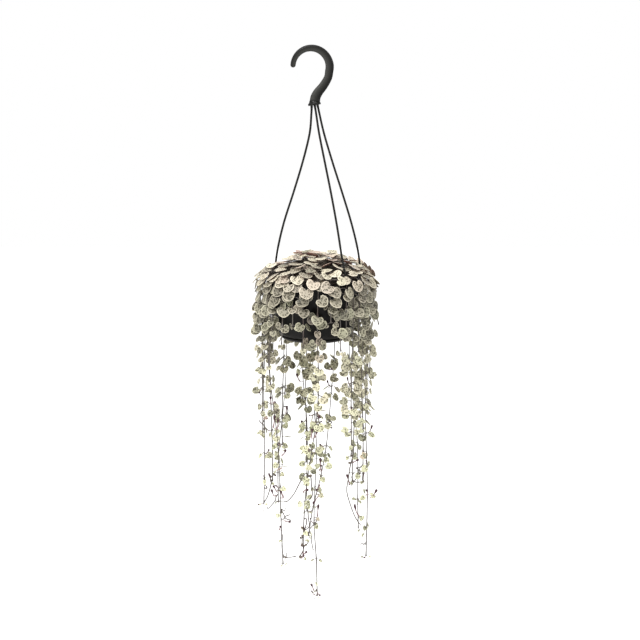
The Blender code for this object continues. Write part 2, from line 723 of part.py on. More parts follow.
def make_soil(stems, finish):
    """The soil that fills the pot, with a plain hole for each stem."""
    inset = WALL + GAP
    profile = [(0.0, -POT_HEIGHT + inset), (BASE_RADIUS - 1.5, -POT_HEIGHT + inset),
               (CORNER_TOP[0] - inset - 1.8, CORNER_TOP[1] - 3.0), (WAIST[0] - inset - 0.5, WAIST[1]),
               (MOUTH_RADIUS - 2.2, -SOIL_DEPTH), (0.0, -SOIL_DEPTH)]
    soil = add_object("soil", *turned(profile, SOIL_SIDES, in_pot([0, 0, 0])), finish)
    holes = []
    for stem in stems:
        mouth = in_pot(outward(stem.bearing) * stem.start - np.array([0, 0, SOIL_DEPTH - 2.0]))
        ends = [mouth, mouth - [0, 0, HOLE_DEPTH + 2.0]]
        holes.append(add_object("stem_hole", *tube(ends, HOLE_RADIUS, 3)))
    apply_boolean(soil, holes, "DIFFERENCE")


def leaf_solid(leaf):
    """Points and faces of one leaf: a flat heart with its stalk as a strip bent back to the stem."""
    across = np.cross(leaf.axis, leaf.normal)
    heart = HEART_LARGE if leaf.width > LARGE_WIDTH else HEART_SMALL
    half = [(x * leaf.width, y * leaf.width) for x, y in heart]
    narrow = STALK_WIDTH / 2
    outline = [(narrow, 0.0)] + half + [(0.0, HEART_TIP * leaf.width)] + [(-x, y) for x, y in half[::-1]]
    outline.append((-narrow, 0.0))
    blade = [leaf.notch + across * x + leaf.axis * y for x, y in outline]
    flat = [leaf.root - across * ROOT_WIDTH / 2, leaf.root + across * ROOT_WIDTH / 2] + blade
    count = len(flat)
    tip = 3 + len(half)
    top = [(0, 1, 2), (0, 2, count - 1)]
    for k in range(2, count):
        after = k + 1 if k + 1 < count else 2
        if tip not in (k, after):
            top.append((tip, k, after))
    lift = leaf.normal * BLADE / 2
    vertices = [p + lift for p in flat] + [p - lift for p in flat]
    faces = [list(t) for t in top] + [[v + count for v in t[::-1]] for t in top]
    faces += [[k, k + count, (k + 1) % count + count, (k + 1) % count] for k in range(count)]
    return vertices, faces


def make_stem(stem, route, leaves, finish):
    """One leafy stem: a slim bar through its bends, with every leaf fused to it."""
    points = in_pot(route)
    made = add_object(stem.name, *tube(points, STEM_RADIUS, STEM_SIDES), finish)
    blades = []
    for leaf in leaves:
        vertices, faces = leaf_solid(leaf)
        blades.append(add_object("blade", in_pot(vertices), faces))
    apply_boolean(made, blades, "UNION", "MANIFOLD")


def main():
    """Builds every sub-part in an empty scene."""
    for old in list(bpy.data.objects):
        bpy.data.objects.remove(old)
    plastic = material("charcoal_plastic", (0.035, 0.034, 0.031), 0.45)
    pot_black = material("black_plastic", (0.012, 0.012, 0.011), 0.35)
    earth = material("potting_soil", (0.035, 0.022, 0.014), 0.95)
    silver_leaf = material("silver_leaf", (0.42, 0.42, 0.30), 0.55)
    make_hook(plastic)
    make_pot(pot_black)
    make_saucer(pot_black)
    for name in STRANDS:
        make_strand(name, plastic)
    strand_routes = [strand_route(name) - in_pot([0, 0, 0]) for name in STRANDS]
    stems, routes, leaves = plan_plant(strand_routes)
    make_soil(stems, earth)
    for stem, route, grown in zip(stems, routes, leaves):
        make_stem(stem, route[0], [leaf for leaf in grown if not leaf.spare], silver_leaf)


main()
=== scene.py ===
"""Looks for the potted string of hearts: fine foliage, pot, soil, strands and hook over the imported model.

Sizes and places are millimetres, and each mesh is made in metres with its place in its vertices. Leaves and
stems are first planned in the pot's own frame, whose origin is on the pot's axis at its rim.
"""

import logging
from dataclasses import dataclass, field, replace
from enum import Enum
from functools import cache
from math import atan2, copysign, cos, degrees, hypot, pi, radians, sin, sqrt

import bpy
import numpy as np
from numpy.linalg import norm
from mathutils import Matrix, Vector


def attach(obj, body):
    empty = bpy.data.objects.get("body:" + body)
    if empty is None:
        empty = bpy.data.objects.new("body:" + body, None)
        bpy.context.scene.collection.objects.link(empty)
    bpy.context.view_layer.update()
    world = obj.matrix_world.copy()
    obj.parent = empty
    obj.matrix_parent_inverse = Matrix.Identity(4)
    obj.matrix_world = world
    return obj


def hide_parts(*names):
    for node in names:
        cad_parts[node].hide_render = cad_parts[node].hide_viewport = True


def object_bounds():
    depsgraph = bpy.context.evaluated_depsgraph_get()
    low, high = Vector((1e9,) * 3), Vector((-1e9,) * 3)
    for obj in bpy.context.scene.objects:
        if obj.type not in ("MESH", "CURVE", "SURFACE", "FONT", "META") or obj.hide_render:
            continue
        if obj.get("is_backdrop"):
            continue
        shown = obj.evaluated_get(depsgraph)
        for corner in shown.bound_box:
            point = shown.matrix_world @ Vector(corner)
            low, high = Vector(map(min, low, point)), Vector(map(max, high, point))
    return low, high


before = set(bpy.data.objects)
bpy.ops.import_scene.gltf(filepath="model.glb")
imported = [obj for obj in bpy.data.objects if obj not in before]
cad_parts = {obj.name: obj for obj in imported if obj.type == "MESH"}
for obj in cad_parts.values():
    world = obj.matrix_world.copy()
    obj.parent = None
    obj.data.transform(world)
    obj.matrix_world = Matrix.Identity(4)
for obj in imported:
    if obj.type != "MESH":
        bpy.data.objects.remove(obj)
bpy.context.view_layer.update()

Array = np.ndarray
Pair = tuple[float, float]
Triple = tuple[float, float, float]
Pairs = tuple[Pair, ...]
Rows = tuple[tuple[float, ...], ...]
Node = bpy.types.Node
Socket = bpy.types.NodeSocket
Inputs = dict[str | int, object]
LOG = logging.getLogger("string_of_hearts")
METRES = 0.001
SEED = 9009
UP = np.array([0.0, 0.0, 1.0])
POT_RIM = np.array([6.4, 0.0, -296.0])


def unit(vectors: Array) -> Array:
    """Scales each vector to length one."""
    return vectors / norm(vectors, axis=-1, keepdims=True)


def outward(bearing: float) -> Array:
    """Gives the level way at a bearing in degrees, 0 at the front: its sine along X, minus its cosine along Y."""
    angle = radians(bearing)
    return np.array([sin(angle), -cos(angle), 0.0])


def turned(first: Array, second: Array, angle: float) -> Array:
    """Turns from one way toward another, square to it: the first by the cosine and the second by the sine."""
    return first * cos(angle) + second * sin(angle)


def chance(*seed: int) -> np.random.Generator:
    """Starts one seeded chance."""
    return np.random.default_rng([SEED, *seed])


def placed(name: str, data: bpy.types.ID) -> bpy.types.Object:
    """Makes an object at the origin and links it to the scene.

    Args:
        name: Its name.
        data: Its mesh, lamp or camera.

    Returns:
        The object.
    """
    made = bpy.data.objects.new(name, data)
    bpy.context.scene.collection.objects.link(made)
    return made


def length_along(points: Array) -> Array:
    """Gives each point's distance from the first along a bent line."""
    return np.concatenate([[0.0], np.cumsum(norm(np.diff(points, axis=0), axis=1))])


def spread(points: Array, count: int) -> Array:
    """Spreads so many points evenly along a bent line by its running length, both ends kept."""
    run = length_along(points)
    return np.stack([np.interp(np.linspace(0.0, run[-1], count), run, points[:, k]) for k in range(3)], axis=1)


def dense(points: Array, step: float) -> Array:
    """Spreads points evenly along a bent line, about a step apart."""
    return spread(points, max(2, int(length_along(points)[-1] / step) + 1))


def smooth_line(points: Array, steps: int) -> Array:
    """Draws a Catmull-Rom curve: on each span a cubic that leaves and meets the points without a kink.

    Args:
        points: The points to pass through.
        steps: How many new points each span gets.

    Returns:
        Rows of points along the curve.
    """
    ends = np.vstack([2 * points[0] - points[1], points, 2 * points[-1] - points[-2]])
    a, b, c, d = ends[:-3, None], ends[1:-2, None], ends[2:-1, None], ends[3:, None]
    t = np.linspace(0.0, 1.0, steps, endpoint=False)[None, :, None]
    curve = 0.5 * (2 * b + (c - a) * t + (2 * a - 5 * b + 4 * c - d) * t**2 + (3 * b - a - 3 * c + d) * t**3)
    return np.vstack([curve.reshape(-1, points.shape[1]), points[-1:]])


def rounded(corners: list[Triple], steps: int = 5) -> Array:
    """Rounds a profile's corners: near each one the line follows a parabola between its two sides.

    Args:
        corners: Rows of (radius from the axis, height, how far the rounding reaches along each side).
        steps: Points on each rounding.

    Returns:
        The profile as rows of (radius, height).
    """
    table = np.array(corners)
    points = [table[0, :2]]
    for before, here, after in zip(table[:-2], table[1:-1], table[2:]):
        start = here[:2] + unit(before[:2] - here[:2]) * here[2]
        end = here[:2] + unit(after[:2] - here[:2]) * here[2]
        t = np.linspace(0.0, 1.0, steps if here[2] else 1)[:, None]
        points.extend((1 - t) ** 2 * start + 2 * t * (1 - t) * here[:2] + t**2 * end)
    return np.array(points + [table[-1, :2]])


@dataclass
class Surface:
    """A mesh in the making: vertices in millimetres, blocks of faces, their map and values for the materials."""

    vertices: Array
    faces: list[Array]
    values: dict[str, Array] = field(default_factory=dict)
    corner_uv: list[Array] | None = None

    @staticmethod
    def merged(parts: "list[Surface]") -> "Surface":
        """Puts surfaces without a map, and with the same values, into one.

        Args:
            parts: The surfaces.

        Returns:
            One surface that holds them all.
        """
        starts = np.concatenate([[0], np.cumsum([len(part.vertices) for part in parts])])
        faces = [block + start for part, start in zip(parts, starts) for block in part.faces]
        values = {name: np.concatenate([part.values[name] for part in parts]) for name in parts[0].values}
        return Surface(np.concatenate([part.vertices for part in parts]), faces, values)

    def as_object(self, name: str, finish: "Finish", sharp: float | None = None) -> bpy.types.Object:
        """Makes the Blender object, at the origin, with its place in its mesh.

        Args:
            name: The object's name.
            finish: Its finish.
            sharp: The angle in degrees past which an edge stays sharp, if any does.

        Returns:
            The object.
        """
        mesh = bpy.data.meshes.new(name)
        corners = np.concatenate([block.ravel() for block in self.faces]).astype(np.int32)
        sizes = np.concatenate([np.full(len(block), block.shape[1]) for block in self.faces])
        mesh.vertices.add(len(self.vertices))
        mesh.vertices.foreach_set("co", (self.vertices * METRES).astype(np.float32).ravel())
        mesh.loops.add(len(corners))
        mesh.loops.foreach_set("vertex_index", corners)
        mesh.polygons.add(len(sizes))
        mesh.polygons.foreach_set("loop_start", (np.cumsum(sizes) - sizes).astype(np.int32))
        mesh.update(calc_edges=True)
        if self.corner_uv is not None:
            uv = np.concatenate([block.reshape(-1, 2) for block in self.corner_uv]).astype(np.float32)
            mesh.uv_layers.new(name="UVMap").uv.foreach_set("vector", uv.ravel())
        for key, value in self.values.items():
            kind, slot = ("FLOAT", "value") if value.ndim == 1 else ("FLOAT_COLOR", "color")
            mesh.attributes.new(key, kind, "POINT").data.foreach_set(slot, value.astype(np.float32).ravel())
        mesh.materials.append(finish.material())
        mesh.shade_smooth()
        if sharp is not None:
            mesh.set_sharp_from_angle(angle=radians(sharp))
        return placed(name, mesh)

    def piece(self, name: str, finish: "Finish", slot: str, *nodes: str, sharp: float | None = None) -> None:
        """Makes a finished piece that rides on the part's one body.

        Args:
            name: The piece's name.
            finish: Its finish.
            slot: Not used.
            *nodes: The solids that it replaces.
            sharp: As for as_object.
        """
        piece = self.as_object(name, finish, sharp)
        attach(piece, "root")
        if nodes:
            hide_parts(*nodes)
        LOG.info("%s: %d faces", name, len(piece.data.polygons))


def ring_quads(index: Array) -> Array:
    """Joins each ring of vertex numbers, along the last axis, to the next with four-cornered faces."""
    index = np.stack([index, np.roll(index, -1, axis=-1)], axis=-1)
    return np.concatenate([index[..., :-1, :, :], index[..., 1:, :, ::-1]], axis=-1).reshape(-1, 4)


def tubes(lines: Array, radii: Array, side: Array, sides: int) -> Surface:
    """Carries a ring along many lines at once: point = line + radius times (cosine across + sine along the side).

    The two ways of a ring are the side vector, made square to the line, and the way square to both. Each tube
    ends in a flat face. The value "along" runs from 0 to 1 down each tube.

    Args:
        lines: Points of each line, as (tubes, points, 3).
        radii: Radius at each point, for each tube or for all.
        side: A vector roughly square to each line, or to all.
        sides: Corners of a ring.

    Returns:
        The tubes as one surface.
    """
    count, length = lines.shape[:2]
    side = np.broadcast_to(side, (count, 3))[:, None, :]
    ways = unit(np.gradient(lines, axis=1))
    lead = unit(side - ways * (ways * side).sum(axis=2, keepdims=True))
    across = np.cross(ways, lead)
    angle = 2 * pi * np.arange(sides) / sides
    ring = np.cos(angle)[:, None] * lead[:, :, None, :] + np.sin(angle)[:, None] * across[:, :, None, :]
    points = lines[:, :, None, :] + np.broadcast_to(radii, (count, length))[:, :, None, None] * ring
    index = np.arange(count * length * sides).reshape(count, length, sides)
    caps = np.concatenate([index[:, 0, ::-1], index[:, -1, :]])
    along = np.broadcast_to(np.linspace(0.0, 1.0, length)[None, :, None], index.shape)
    return Surface(points.reshape(-1, 3), [ring_quads(index), caps], {"along": along.ravel()})


def lathe(profile: Array, segments: int, centre: Array) -> Surface:
    """Turns a profile about an upright axis: x = r cos a, y = r sin a, z = height, closed by a point at each end.

    Args:
        profile: Rows of (radius, height), the first and last on the axis, with the outside to its right.
        segments: Steps round the axis.
        centre: Where the axis passes, at height zero.

    Returns:
        The closed surface.
    """
    angle = 2 * pi * np.arange(segments) / segments
    radius, height = profile[1:-1, 0][:, None], profile[1:-1, 1][:, None]
    grid = np.stack([radius * np.cos(angle), radius * np.sin(angle), height + 0 * angle], axis=-1)
    poles = np.array([[0.0, 0.0, profile[0, 1]], [0.0, 0.0, profile[-1, 1]]])
    index = np.arange(grid.shape[0] * segments).reshape(-1, segments)
    after = np.roll(index, -1, axis=1)
    low = np.stack([np.full(segments, index.size), after[0], index[0]], axis=-1)
    high = np.stack([np.full(segments, index.size + 1), index[-1], after[-1]], axis=-1)
    return Surface(np.vstack([grid.reshape(-1, 3), poles]) + centre, [ring_quads(index), low, high])


def pebbles(centres: Array, radii: Array, seed: int) -> Surface:
    """Sets small lumps: each is a ball of 12 corners and 20 faces, stretched and dented by chance.

    Args:
        centres: Where each lump lies, as (lumps, 3).
        radii: Each lump's radius.
        seed: Seed of the chance.

    Returns:
        The lumps as one surface.
    """
    golden = (1 + sqrt(5)) / 2
    ball = [(s * 1.0, t * golden, 0.0) for s in (-1, 1) for t in (-1, 1)]
    ball = unit(np.array(ball + [(0.0, x, y) for x, y, _ in ball] + [(y, 0.0, x) for x, y, _ in ball]))
    near = norm(ball[:, None] - ball[None], axis=2)
    edge = (near > 0.1) & (near < 1.1)
    trios = [(a, b, c) for a in range(12) for b in range(a + 1, 12) for c in range(b + 1, 12)
             if edge[a, b] and edge[b, c] and edge[a, c]]
    faces = np.array([(a, b, c) if np.linalg.det(ball[[a, b, c]]) > 0 else (a, c, b) for a, b, c in trios])
    draw = chance(seed)
    count = len(centres)
    stretch = draw.uniform(0.7, 1.25, (count, 1, 3))
    dents = draw.uniform(0.84, 1.14, (count, 12, 1))
    spin = unit(draw.normal(size=(count, 3)))
    other = unit(np.cross(spin, draw.normal(size=(count, 3))))
    turn = np.stack([spin, other, np.cross(spin, other)], axis=1)
    points = np.einsum("nvk,nkj->nvj", ball[None] * stretch * dents, turn)
    points = points * radii[:, None, None] + centres[:, None]
    blocks = (faces[None] + 12 * np.arange(count)[:, None, None]).reshape(-1, 3)
    return Surface(points.reshape(-1, 3), [blocks])


@dataclass(frozen=True)
class Sight:
    """The camera's view: where a place on the plant shows in the picture, and the way back."""

    focal: float = 1132.0
    middle: Pair = (315.5, 320.0)
    tilt: float = 11.1
    place: Triple = (6.4, -1500.0, -58.9)

    def ways(self) -> tuple[Array, Array]:
        """Gives the camera's forward and upward ways."""
        turn = radians(self.tilt)
        return np.array([0.0, cos(turn), -sin(turn)]), np.array([0.0, sin(turn), cos(turn)])

    def seen(self, points: Array) -> Array:
        """Projects points: their distance sideways and upward over that ahead, times the focal length.

        Args:
            points: Rows of points in the pot's frame.

        Returns:
            Rows of pixels.
        """
        forward, upward = self.ways()
        away = points + POT_RIM - self.place
        ahead = away @ forward
        return np.stack([self.middle[0] + self.focal * away[:, 0] / ahead,
                         self.middle[1] - self.focal * (away @ upward) / ahead], axis=1)

    def at(self, pixels: Array, depth: Array | float) -> Array:
        """Follows each pixel's ray until it reaches a depth along Y.

        Args:
            pixels: Rows of pixels.
            depth: The depth, for all or for each.

        Returns:
            Rows of points in the pot's frame.
        """
        forward, upward = self.ways()
        level = (pixels[:, :1] - self.middle[0]) / self.focal
        rise = (self.middle[1] - pixels[:, 1:2]) / self.focal
        rays = forward + level * [1.0, 0.0, 0.0] + rise * upward
        reach = (np.asarray(depth, float) - self.place[1]) / rays[:, 1]
        return self.place + rays * reach[:, None] - POT_RIM


@dataclass(frozen=True)
class Stem:
    """One stem: its bearing, where it starts, its drop below the rim and the space between its bends.

    It may drift sideways, along X and Y, and the later it is, the lower down it does so.
    """

    name: str
    bearing: float
    start: float
    drop: float
    spacing: float
    drift_x: float = 0.0
    drift_y: float = 0.0
    late: float = 1.0


@dataclass(frozen=True)
class Leaf:
    """One leaf: its stalk's two ends, the blade's axis and normal, and its width.

    A listed leaf also has its tone: how dark, how green and how pink it is.
    """

    root: Array
    notch: Array
    axis: Array
    normal: Array
    width: float
    tone: Triple | None = None


class Room:
    """What is placed already.

    A blade is a disc, as a row of centre, normal and radius, and sample points over it. Stems, stalks and strands
    are round points, as rows of place and radius.
    """

    BLADE_GAP = 1.25
    THREAD_GAP = 0.85
    POT_GAP = 1.3
    HEART_CENTRE = 0.23
    POT_WALL = ([-1.5, 0.0, 5.5, 5.6, 82.1], [65.5, 65.5, 65.5, 59.2, 47.9])
    POT_FOOT = 83.1
    RINGS = ((0.0, 1), (0.36, 6), (0.70, 11), (1.0, 18))

    def __init__(self) -> None:
        """Starts empty."""
        self.pattern = np.array([(r * cos(2 * pi * k / n), r * sin(2 * pi * k / n))
                                 for r, n in self.RINGS for k in range(n)])
        self.discs, self.threads = np.zeros((0, 7)), np.zeros((0, 4))
        self.samples = np.zeros((0, len(self.pattern), 3))

    @staticmethod
    def distances(points: Array, discs: Array) -> Array:
        """Measures from points to flat discs, by the height over each and how far outside its edge they are.

        Args:
            points: Rows of points.
            discs: The discs' rows.

        Returns:
            Distance of each point to each disc.
        """
        away = points[:, None] - discs[:, :3]
        height = np.einsum("pdk,dk->pd", away, discs[:, 3:6])
        flat = np.sqrt(np.maximum((away**2).sum(axis=2) - height**2, 0.0))
        return np.hypot(height, np.maximum(flat - discs[:, 6], 0.0))

    def add_thread(self, points: Array, radius: float) -> None:
        """Records round points along a stem, stalk or strand."""
        self.threads = np.vstack([self.threads, np.insert(points, 3, radius, axis=1)])

    def disc(self, leaf: Leaf) -> tuple[Array, Array]:
        """Lays a blade out flat.

        Args:
            leaf: The leaf.

        Returns:
            The disc's row, and sample points over it.
        """
        centre = leaf.notch + leaf.axis * leaf.width * self.HEART_CENTRE
        flat = self.pattern * leaf.width / 2
        samples = centre + flat[:, :1] * np.cross(leaf.axis, leaf.normal) + flat[:, 1:] * leaf.axis
        return np.hstack([centre, leaf.normal, leaf.width / 2])[None], samples

    @staticmethod
    def stalk(leaf: Leaf) -> Array:
        """Gives six points along a leaf's stalk."""
        return leaf.root + (leaf.notch - leaf.root) * np.linspace(0.0, 0.9, 6)[:, None]

    def add_leaf(self, leaf: Leaf) -> None:
        """Records a leaf's blade and stalk.

        Args:
            leaf: The leaf.
        """
        disc, samples = self.disc(leaf)
        self.discs = np.vstack([self.discs, disc])
        self.samples = np.concatenate([self.samples, samples[None]])
        self.add_thread(self.stalk(leaf)[1:], 0.6)

    def fits(self, leaf: Leaf) -> bool:
        """Tests whether a leaf clears the pot, every other blade and every thread away from its own root.

        Args:
            leaf: The leaf to test.

        Returns:
            True where it clears them all.
        """
        disc, samples = self.disc(leaf)
        centre, half, stalk = disc[0, :3], leaf.width / 2, self.stalk(leaf)
        low, radius = -samples[:, 2], np.hypot(samples[:, 0], samples[:, 1])
        beside = (low > -self.POT_GAP) & (low < self.POT_FOOT)
        near = norm(self.discs[:, :3] - centre, axis=1) < self.discs[:, 6] + half + self.BLADE_GAP
        reach = norm(self.discs[:, :3] - leaf.notch, axis=1) < self.discs[:, 6] + 12.0
        apart = norm(self.threads[:, :3] - leaf.root, axis=1) > 3.2
        close = apart & (norm(self.threads[:, :3] - centre, axis=1) < half + 3.0)
        threads, radii = self.threads[close, :3], self.threads[close, 3]
        spans = norm(stalk[2:, None] - threads, axis=2)
        return not ((beside & (radius < np.interp(low, *self.POT_WALL) + self.POT_GAP)).any()
                    or (self.distances(samples, self.discs[near]) < self.BLADE_GAP).any()
                    or (self.distances(self.samples[near].reshape(-1, 3), disc) < self.BLADE_GAP).any()
                    or (self.distances(threads, disc)[:, 0] < radii + self.THREAD_GAP).any()
                    or (spans < radii + 1.2).any()
                    or (self.distances(stalk, self.discs[reach]) < 0.7 + self.THREAD_GAP).any())


@dataclass(frozen=True)
class Tiling:
    """How one layer of leaves tiles the crown: its rings, its depth under the surface and its leaves' width."""

    first: float = 11.5
    step: float = 9.4
    spacing: float = 20.8
    end: float = 106.0
    seed: int = 1000
    width: float = 18.0
    sink: float = 0.0
    tries: int = 30
    lean: float = 0.25
    tilt: float = 0.25
    stalk: float = 9.0


@dataclass
class PlantPlan:
    """Plans every stem and leaf by given bearings, seeded chance and a test of the room that is left.

    The crown's leaves lie like tiles on a section of revolution. A hanging stem carries pairs at its bends.
    """

    strand_lines: list[Array]
    crown: Pairs = ((0, 35), (20, 32), (40, 25.5), (58, 17.5), (70, 9.5), (77, 0.5), (80, -9), (80.5, -22))
    widths: Pairs = ((0, 17.0), (60, 15.6), (100, 14.4), (180, 13.0), (250, 11.2), (330, 8.4), (500, 5.4))
    # bearing, drop, space between bends and, where it drifts, how far along X and Y and how late
    hanging: Rows = (
        (-50, 62, 25), (-37, 78, 26), (-25, 52, 24), (-14, 80, 26), (3, 368, 38, -22, 4, 2.2), (15, 48, 24),
        (26, 86, 26), (35, 58, 25), (44, 233, 34, -3, 0), (54, 92, 27), (63, 200, 32), (73, 387, 42, 2, 0),
        (84, 130, 30, 2, 0), (95, 186, 31, 1, 0), (104, 62, 25), (114, 294, 40, 1, 0), (122, 100, 28),
        (131, 302, 40), (140, 376, 43, 17, 0), (149, 92, 28), (159, 387, 44, -34, -14, 3.6), (169, 82, 27),
        (-178, 488, 52, 3, 0), (-171, 279, 42, -3, -6), (-163, 356, 43, 10, 3), (-156, 70, 26),
        (-149, 339, 42, -17, 2), (-141, 250, 38, -2, 0), (-133, 84, 27), (-123, 110, 28),
        (-113, 295, 36, 5, 0), (-103, 140, 29), (-93, 320, 35), (-84, 212, 29, -2, 0), (-75, 150, 28),
        (-66, 395, 37, 21, 0), (-58, 112, 27))
    starts: tuple[float, ...] = (20.0, 48.0, 34.0)
    sprigs: Pairs = ((10, 6), (130, 6), (261, 6), (68, 14), (188, 14), (316, 14))
    soil_depth: float = 12.0
    hole_depth: float = 14.0
    stem_radius: float = 1.1
    first_pair: float = 22.0
    stems: list[Stem] = field(default_factory=list)
    routes: list[tuple[Array, int]] = field(default_factory=list)
    leaves: list[list[Leaf]] = field(default_factory=list)
    room: Room = field(default_factory=Room)

    def grow(self) -> None:
        """Grows the plant that the solids hold, and then the finer leaves between."""
        self.stems = [Stem(f"stem_{i + 1:02d}", bearing, self.starts[i % 3], *rest)
                      for i, (bearing, *rest) in enumerate(self.hanging)]
        self.stems += [Stem(f"sprig_{i + 1}", *sprig, 0, 10) for i, sprig in enumerate(self.sprigs)]
        self.routes = [self.stem_points(i) for i in range(len(self.stems))]
        for line in [points for points, _ in self.routes] + self.strand_lines:
            self.room.add_thread(dense(line, 2.0), self.stem_radius)
        self.leaves = [[] for _ in self.stems]
        self.grow_crown(Tiling())
        self.grow_hanging()
        LOG.info("leaves of the solids' plan: %d", sum(map(len, self.leaves)))
        self.grow_crown(Tiling(6.0, 8.0, 15.0, seed=2000, width=15.5, sink=4.6, tries=16))
        self.grow_crown(Tiling(3.0, 9.0, 13.0, 80.0, 3000, 12.5, 8.5, tries=12, lean=0.1))
        self.grow_crown(Tiling(5.0, 9.5, 18.0, 92.0, 4000, 15.0, -2.6, tries=18, tilt=0.42, stalk=13.0))
        self.grow_between()
        LOG.info("leaves with the finer ones: %d", sum(map(len, self.leaves)))

    def crown_at(self, run: float) -> Triple:
        """Reads the crown's section, linear between its points.

        Args:
            run: Distance from the top along the section.

        Returns:
            Radius, height over the rim and downward slope.
        """
        section = np.array(self.crown)
        length = length_along(section)
        radius, height = (float(np.interp(run, length, section[:, k])) for k in (0, 1))
        ends = [max(run - 7.0, 0.0), run + 7.0]
        wide, tall = (np.interp(ends, length, section[:, k]) for k in (0, 1))
        return radius, height, atan2(tall[0] - tall[1], wide[1] - wide[0])

    def stem_points(self, i: int) -> tuple[Array, int]:
        """Plans a stem's bends: up from its hole, out under the crown, over the rim and down with a slow sway.

        Args:
            i: The stem's index, which seeds its sway.

        Returns:
            The bends, and the index of the first one that hangs.
        """
        stem, draw = self.stems[i], chance(i)
        out = outward(stem.bearing)
        side = np.array([-out[1], out[0], 0.0])
        points = [out * stem.start - UP * (self.soil_depth + self.hole_depth - 0.3 - 0.5),
                  out * stem.start - UP * (self.soil_depth - 2.0)]
        reach = 60.0 if stem.drop else stem.start + 19.0
        for radius in np.arange(stem.start + 3.0, reach, 14.0):
            height = float(np.interp(radius, *np.array(self.crown).T))
            points.append(out * radius + UP * (height - 10.0))
        if not stem.drop:
            return np.array(points), len(points)
        points += [out * 65.0 + UP * 6.2, out * 69.3 + UP * 2.4]
        first = len(points)
        count = max(2, int(round((stem.drop - 6.0) / stem.spacing)) + 1)
        phase, sway = draw.uniform(0, 2 * pi, 2), draw.uniform(1.2, 2.4, 2)
        for share in np.linspace(0.0, 1.0, count) ** 1.06:
            depth = 6.0 + (stem.drop - 6.0) * share
            ease = (share * share * (3 - 2 * share)) ** stem.late
            swing = min(1.0, depth / 60.0)
            place = out * (70.5 + 1.2 * share)
            place = place + side * swing * sway[0] * sin(phase[0] + depth / 34.0)
            place = place + out * swing * sway[1] * sin(phase[1] + depth / 41.0) * 0.7
            points.append(place + np.array([stem.drift_x * ease, stem.drift_y * ease, -depth]))
        return np.array(points), first

    @staticmethod
    def leaf_from(root: Array, centre: Array, normal: Array, width: float, turn: float) -> Leaf | None:
        """Makes a leaf about a centre, its axis led from the root and turned in the blade's plane.

        Args:
            root: Where the stalk leaves the stem.
            centre: The blade's middle.
            normal: The blade's normal.
            width: The blade's width.
            turn: Turn of the axis in radians.

        Returns:
            The leaf, or None where its stalk would be bent too far.
        """
        flat = centre - root
        flat = flat - normal * (flat @ normal)
        if norm(flat) < 2.0:
            return None
        axis = unit(flat)
        axis = unit(turned(axis, np.cross(normal, axis), turn))
        notch = centre - axis * width * Room.HEART_CENTRE
        back = root - notch
        behind = -(back @ axis)
        aside = abs(back @ np.cross(axis, normal))
        below = -(back @ normal)
        if behind < 1.4 or aside > 0.85 * behind or below < -0.3 * behind or below > 2.5 * behind:
            return None
        return Leaf(root, notch, axis, normal, width)

    def crown_slots(self, tiling: Tiling) -> list[Pair]:
        """Lists the places of one layer, ring by ring.

        Args:
            tiling: The layer.

        Returns:
            Rows of (distance from the top along the section, bearing).
        """
        slots = [(0.0, 0.0)]
        for ring, run in enumerate(np.arange(tiling.first, tiling.end, tiling.step)):
            count = max(1, int(2 * pi * self.crown_at(run)[0] / tiling.spacing))
            slots += [(run, 360.0 * (k + 0.5 * (ring % 2)) / count + 23.0 * ring) for k in range(count)]
        return slots

    def crown_roots(self) -> tuple[Array, Array]:
        """Lists where a leaf may grow on the stems under the crown.

        Returns:
            The places, and each one's stem.
        """
        places, owners = [], []
        for i, (points, first) in enumerate(self.routes):
            run = dense(points[1:first + 3], 1.5)
            run = run[(run[:, 2] > 2.0) | (np.arange(len(run)) > len(run) // 2)]
            places.append(run)
            owners += [i] * len(run)
        return np.concatenate(places), np.array(owners)

    @staticmethod
    def nearest_of_each(far: Array, owners: Array, count: int, most: float) -> list[int]:
        """Picks the nearest place on each of the few nearest stems.

        Args:
            far: Distance to each place.
            owners: The stem of each place.
            count: How many stems at most.
            most: How far the last place may be.

        Returns:
            The places' indices.
        """
        picked: dict[int, int] = {}
        for k in np.argsort(far, kind="stable"):
            picked.setdefault(owners[k], k)
            if len(picked) == count or far[k] > most:
                break
        return list(picked.values())

    def grow_crown(self, tiling: Tiling) -> None:
        """Lays one layer of leaves on the crown, each on a stem that passes beneath it.

        Args:
            tiling: The layer.
        """
        roots = self.crown_roots()
        for index, slot in enumerate(self.crown_slots(tiling)):
            draw = chance(tiling.seed + index)
            for attempt in range(tiling.tries):
                if self.crown_leaf(tiling, slot, max(0.12, 0.8 - attempt / 22), draw, roots):
                    break

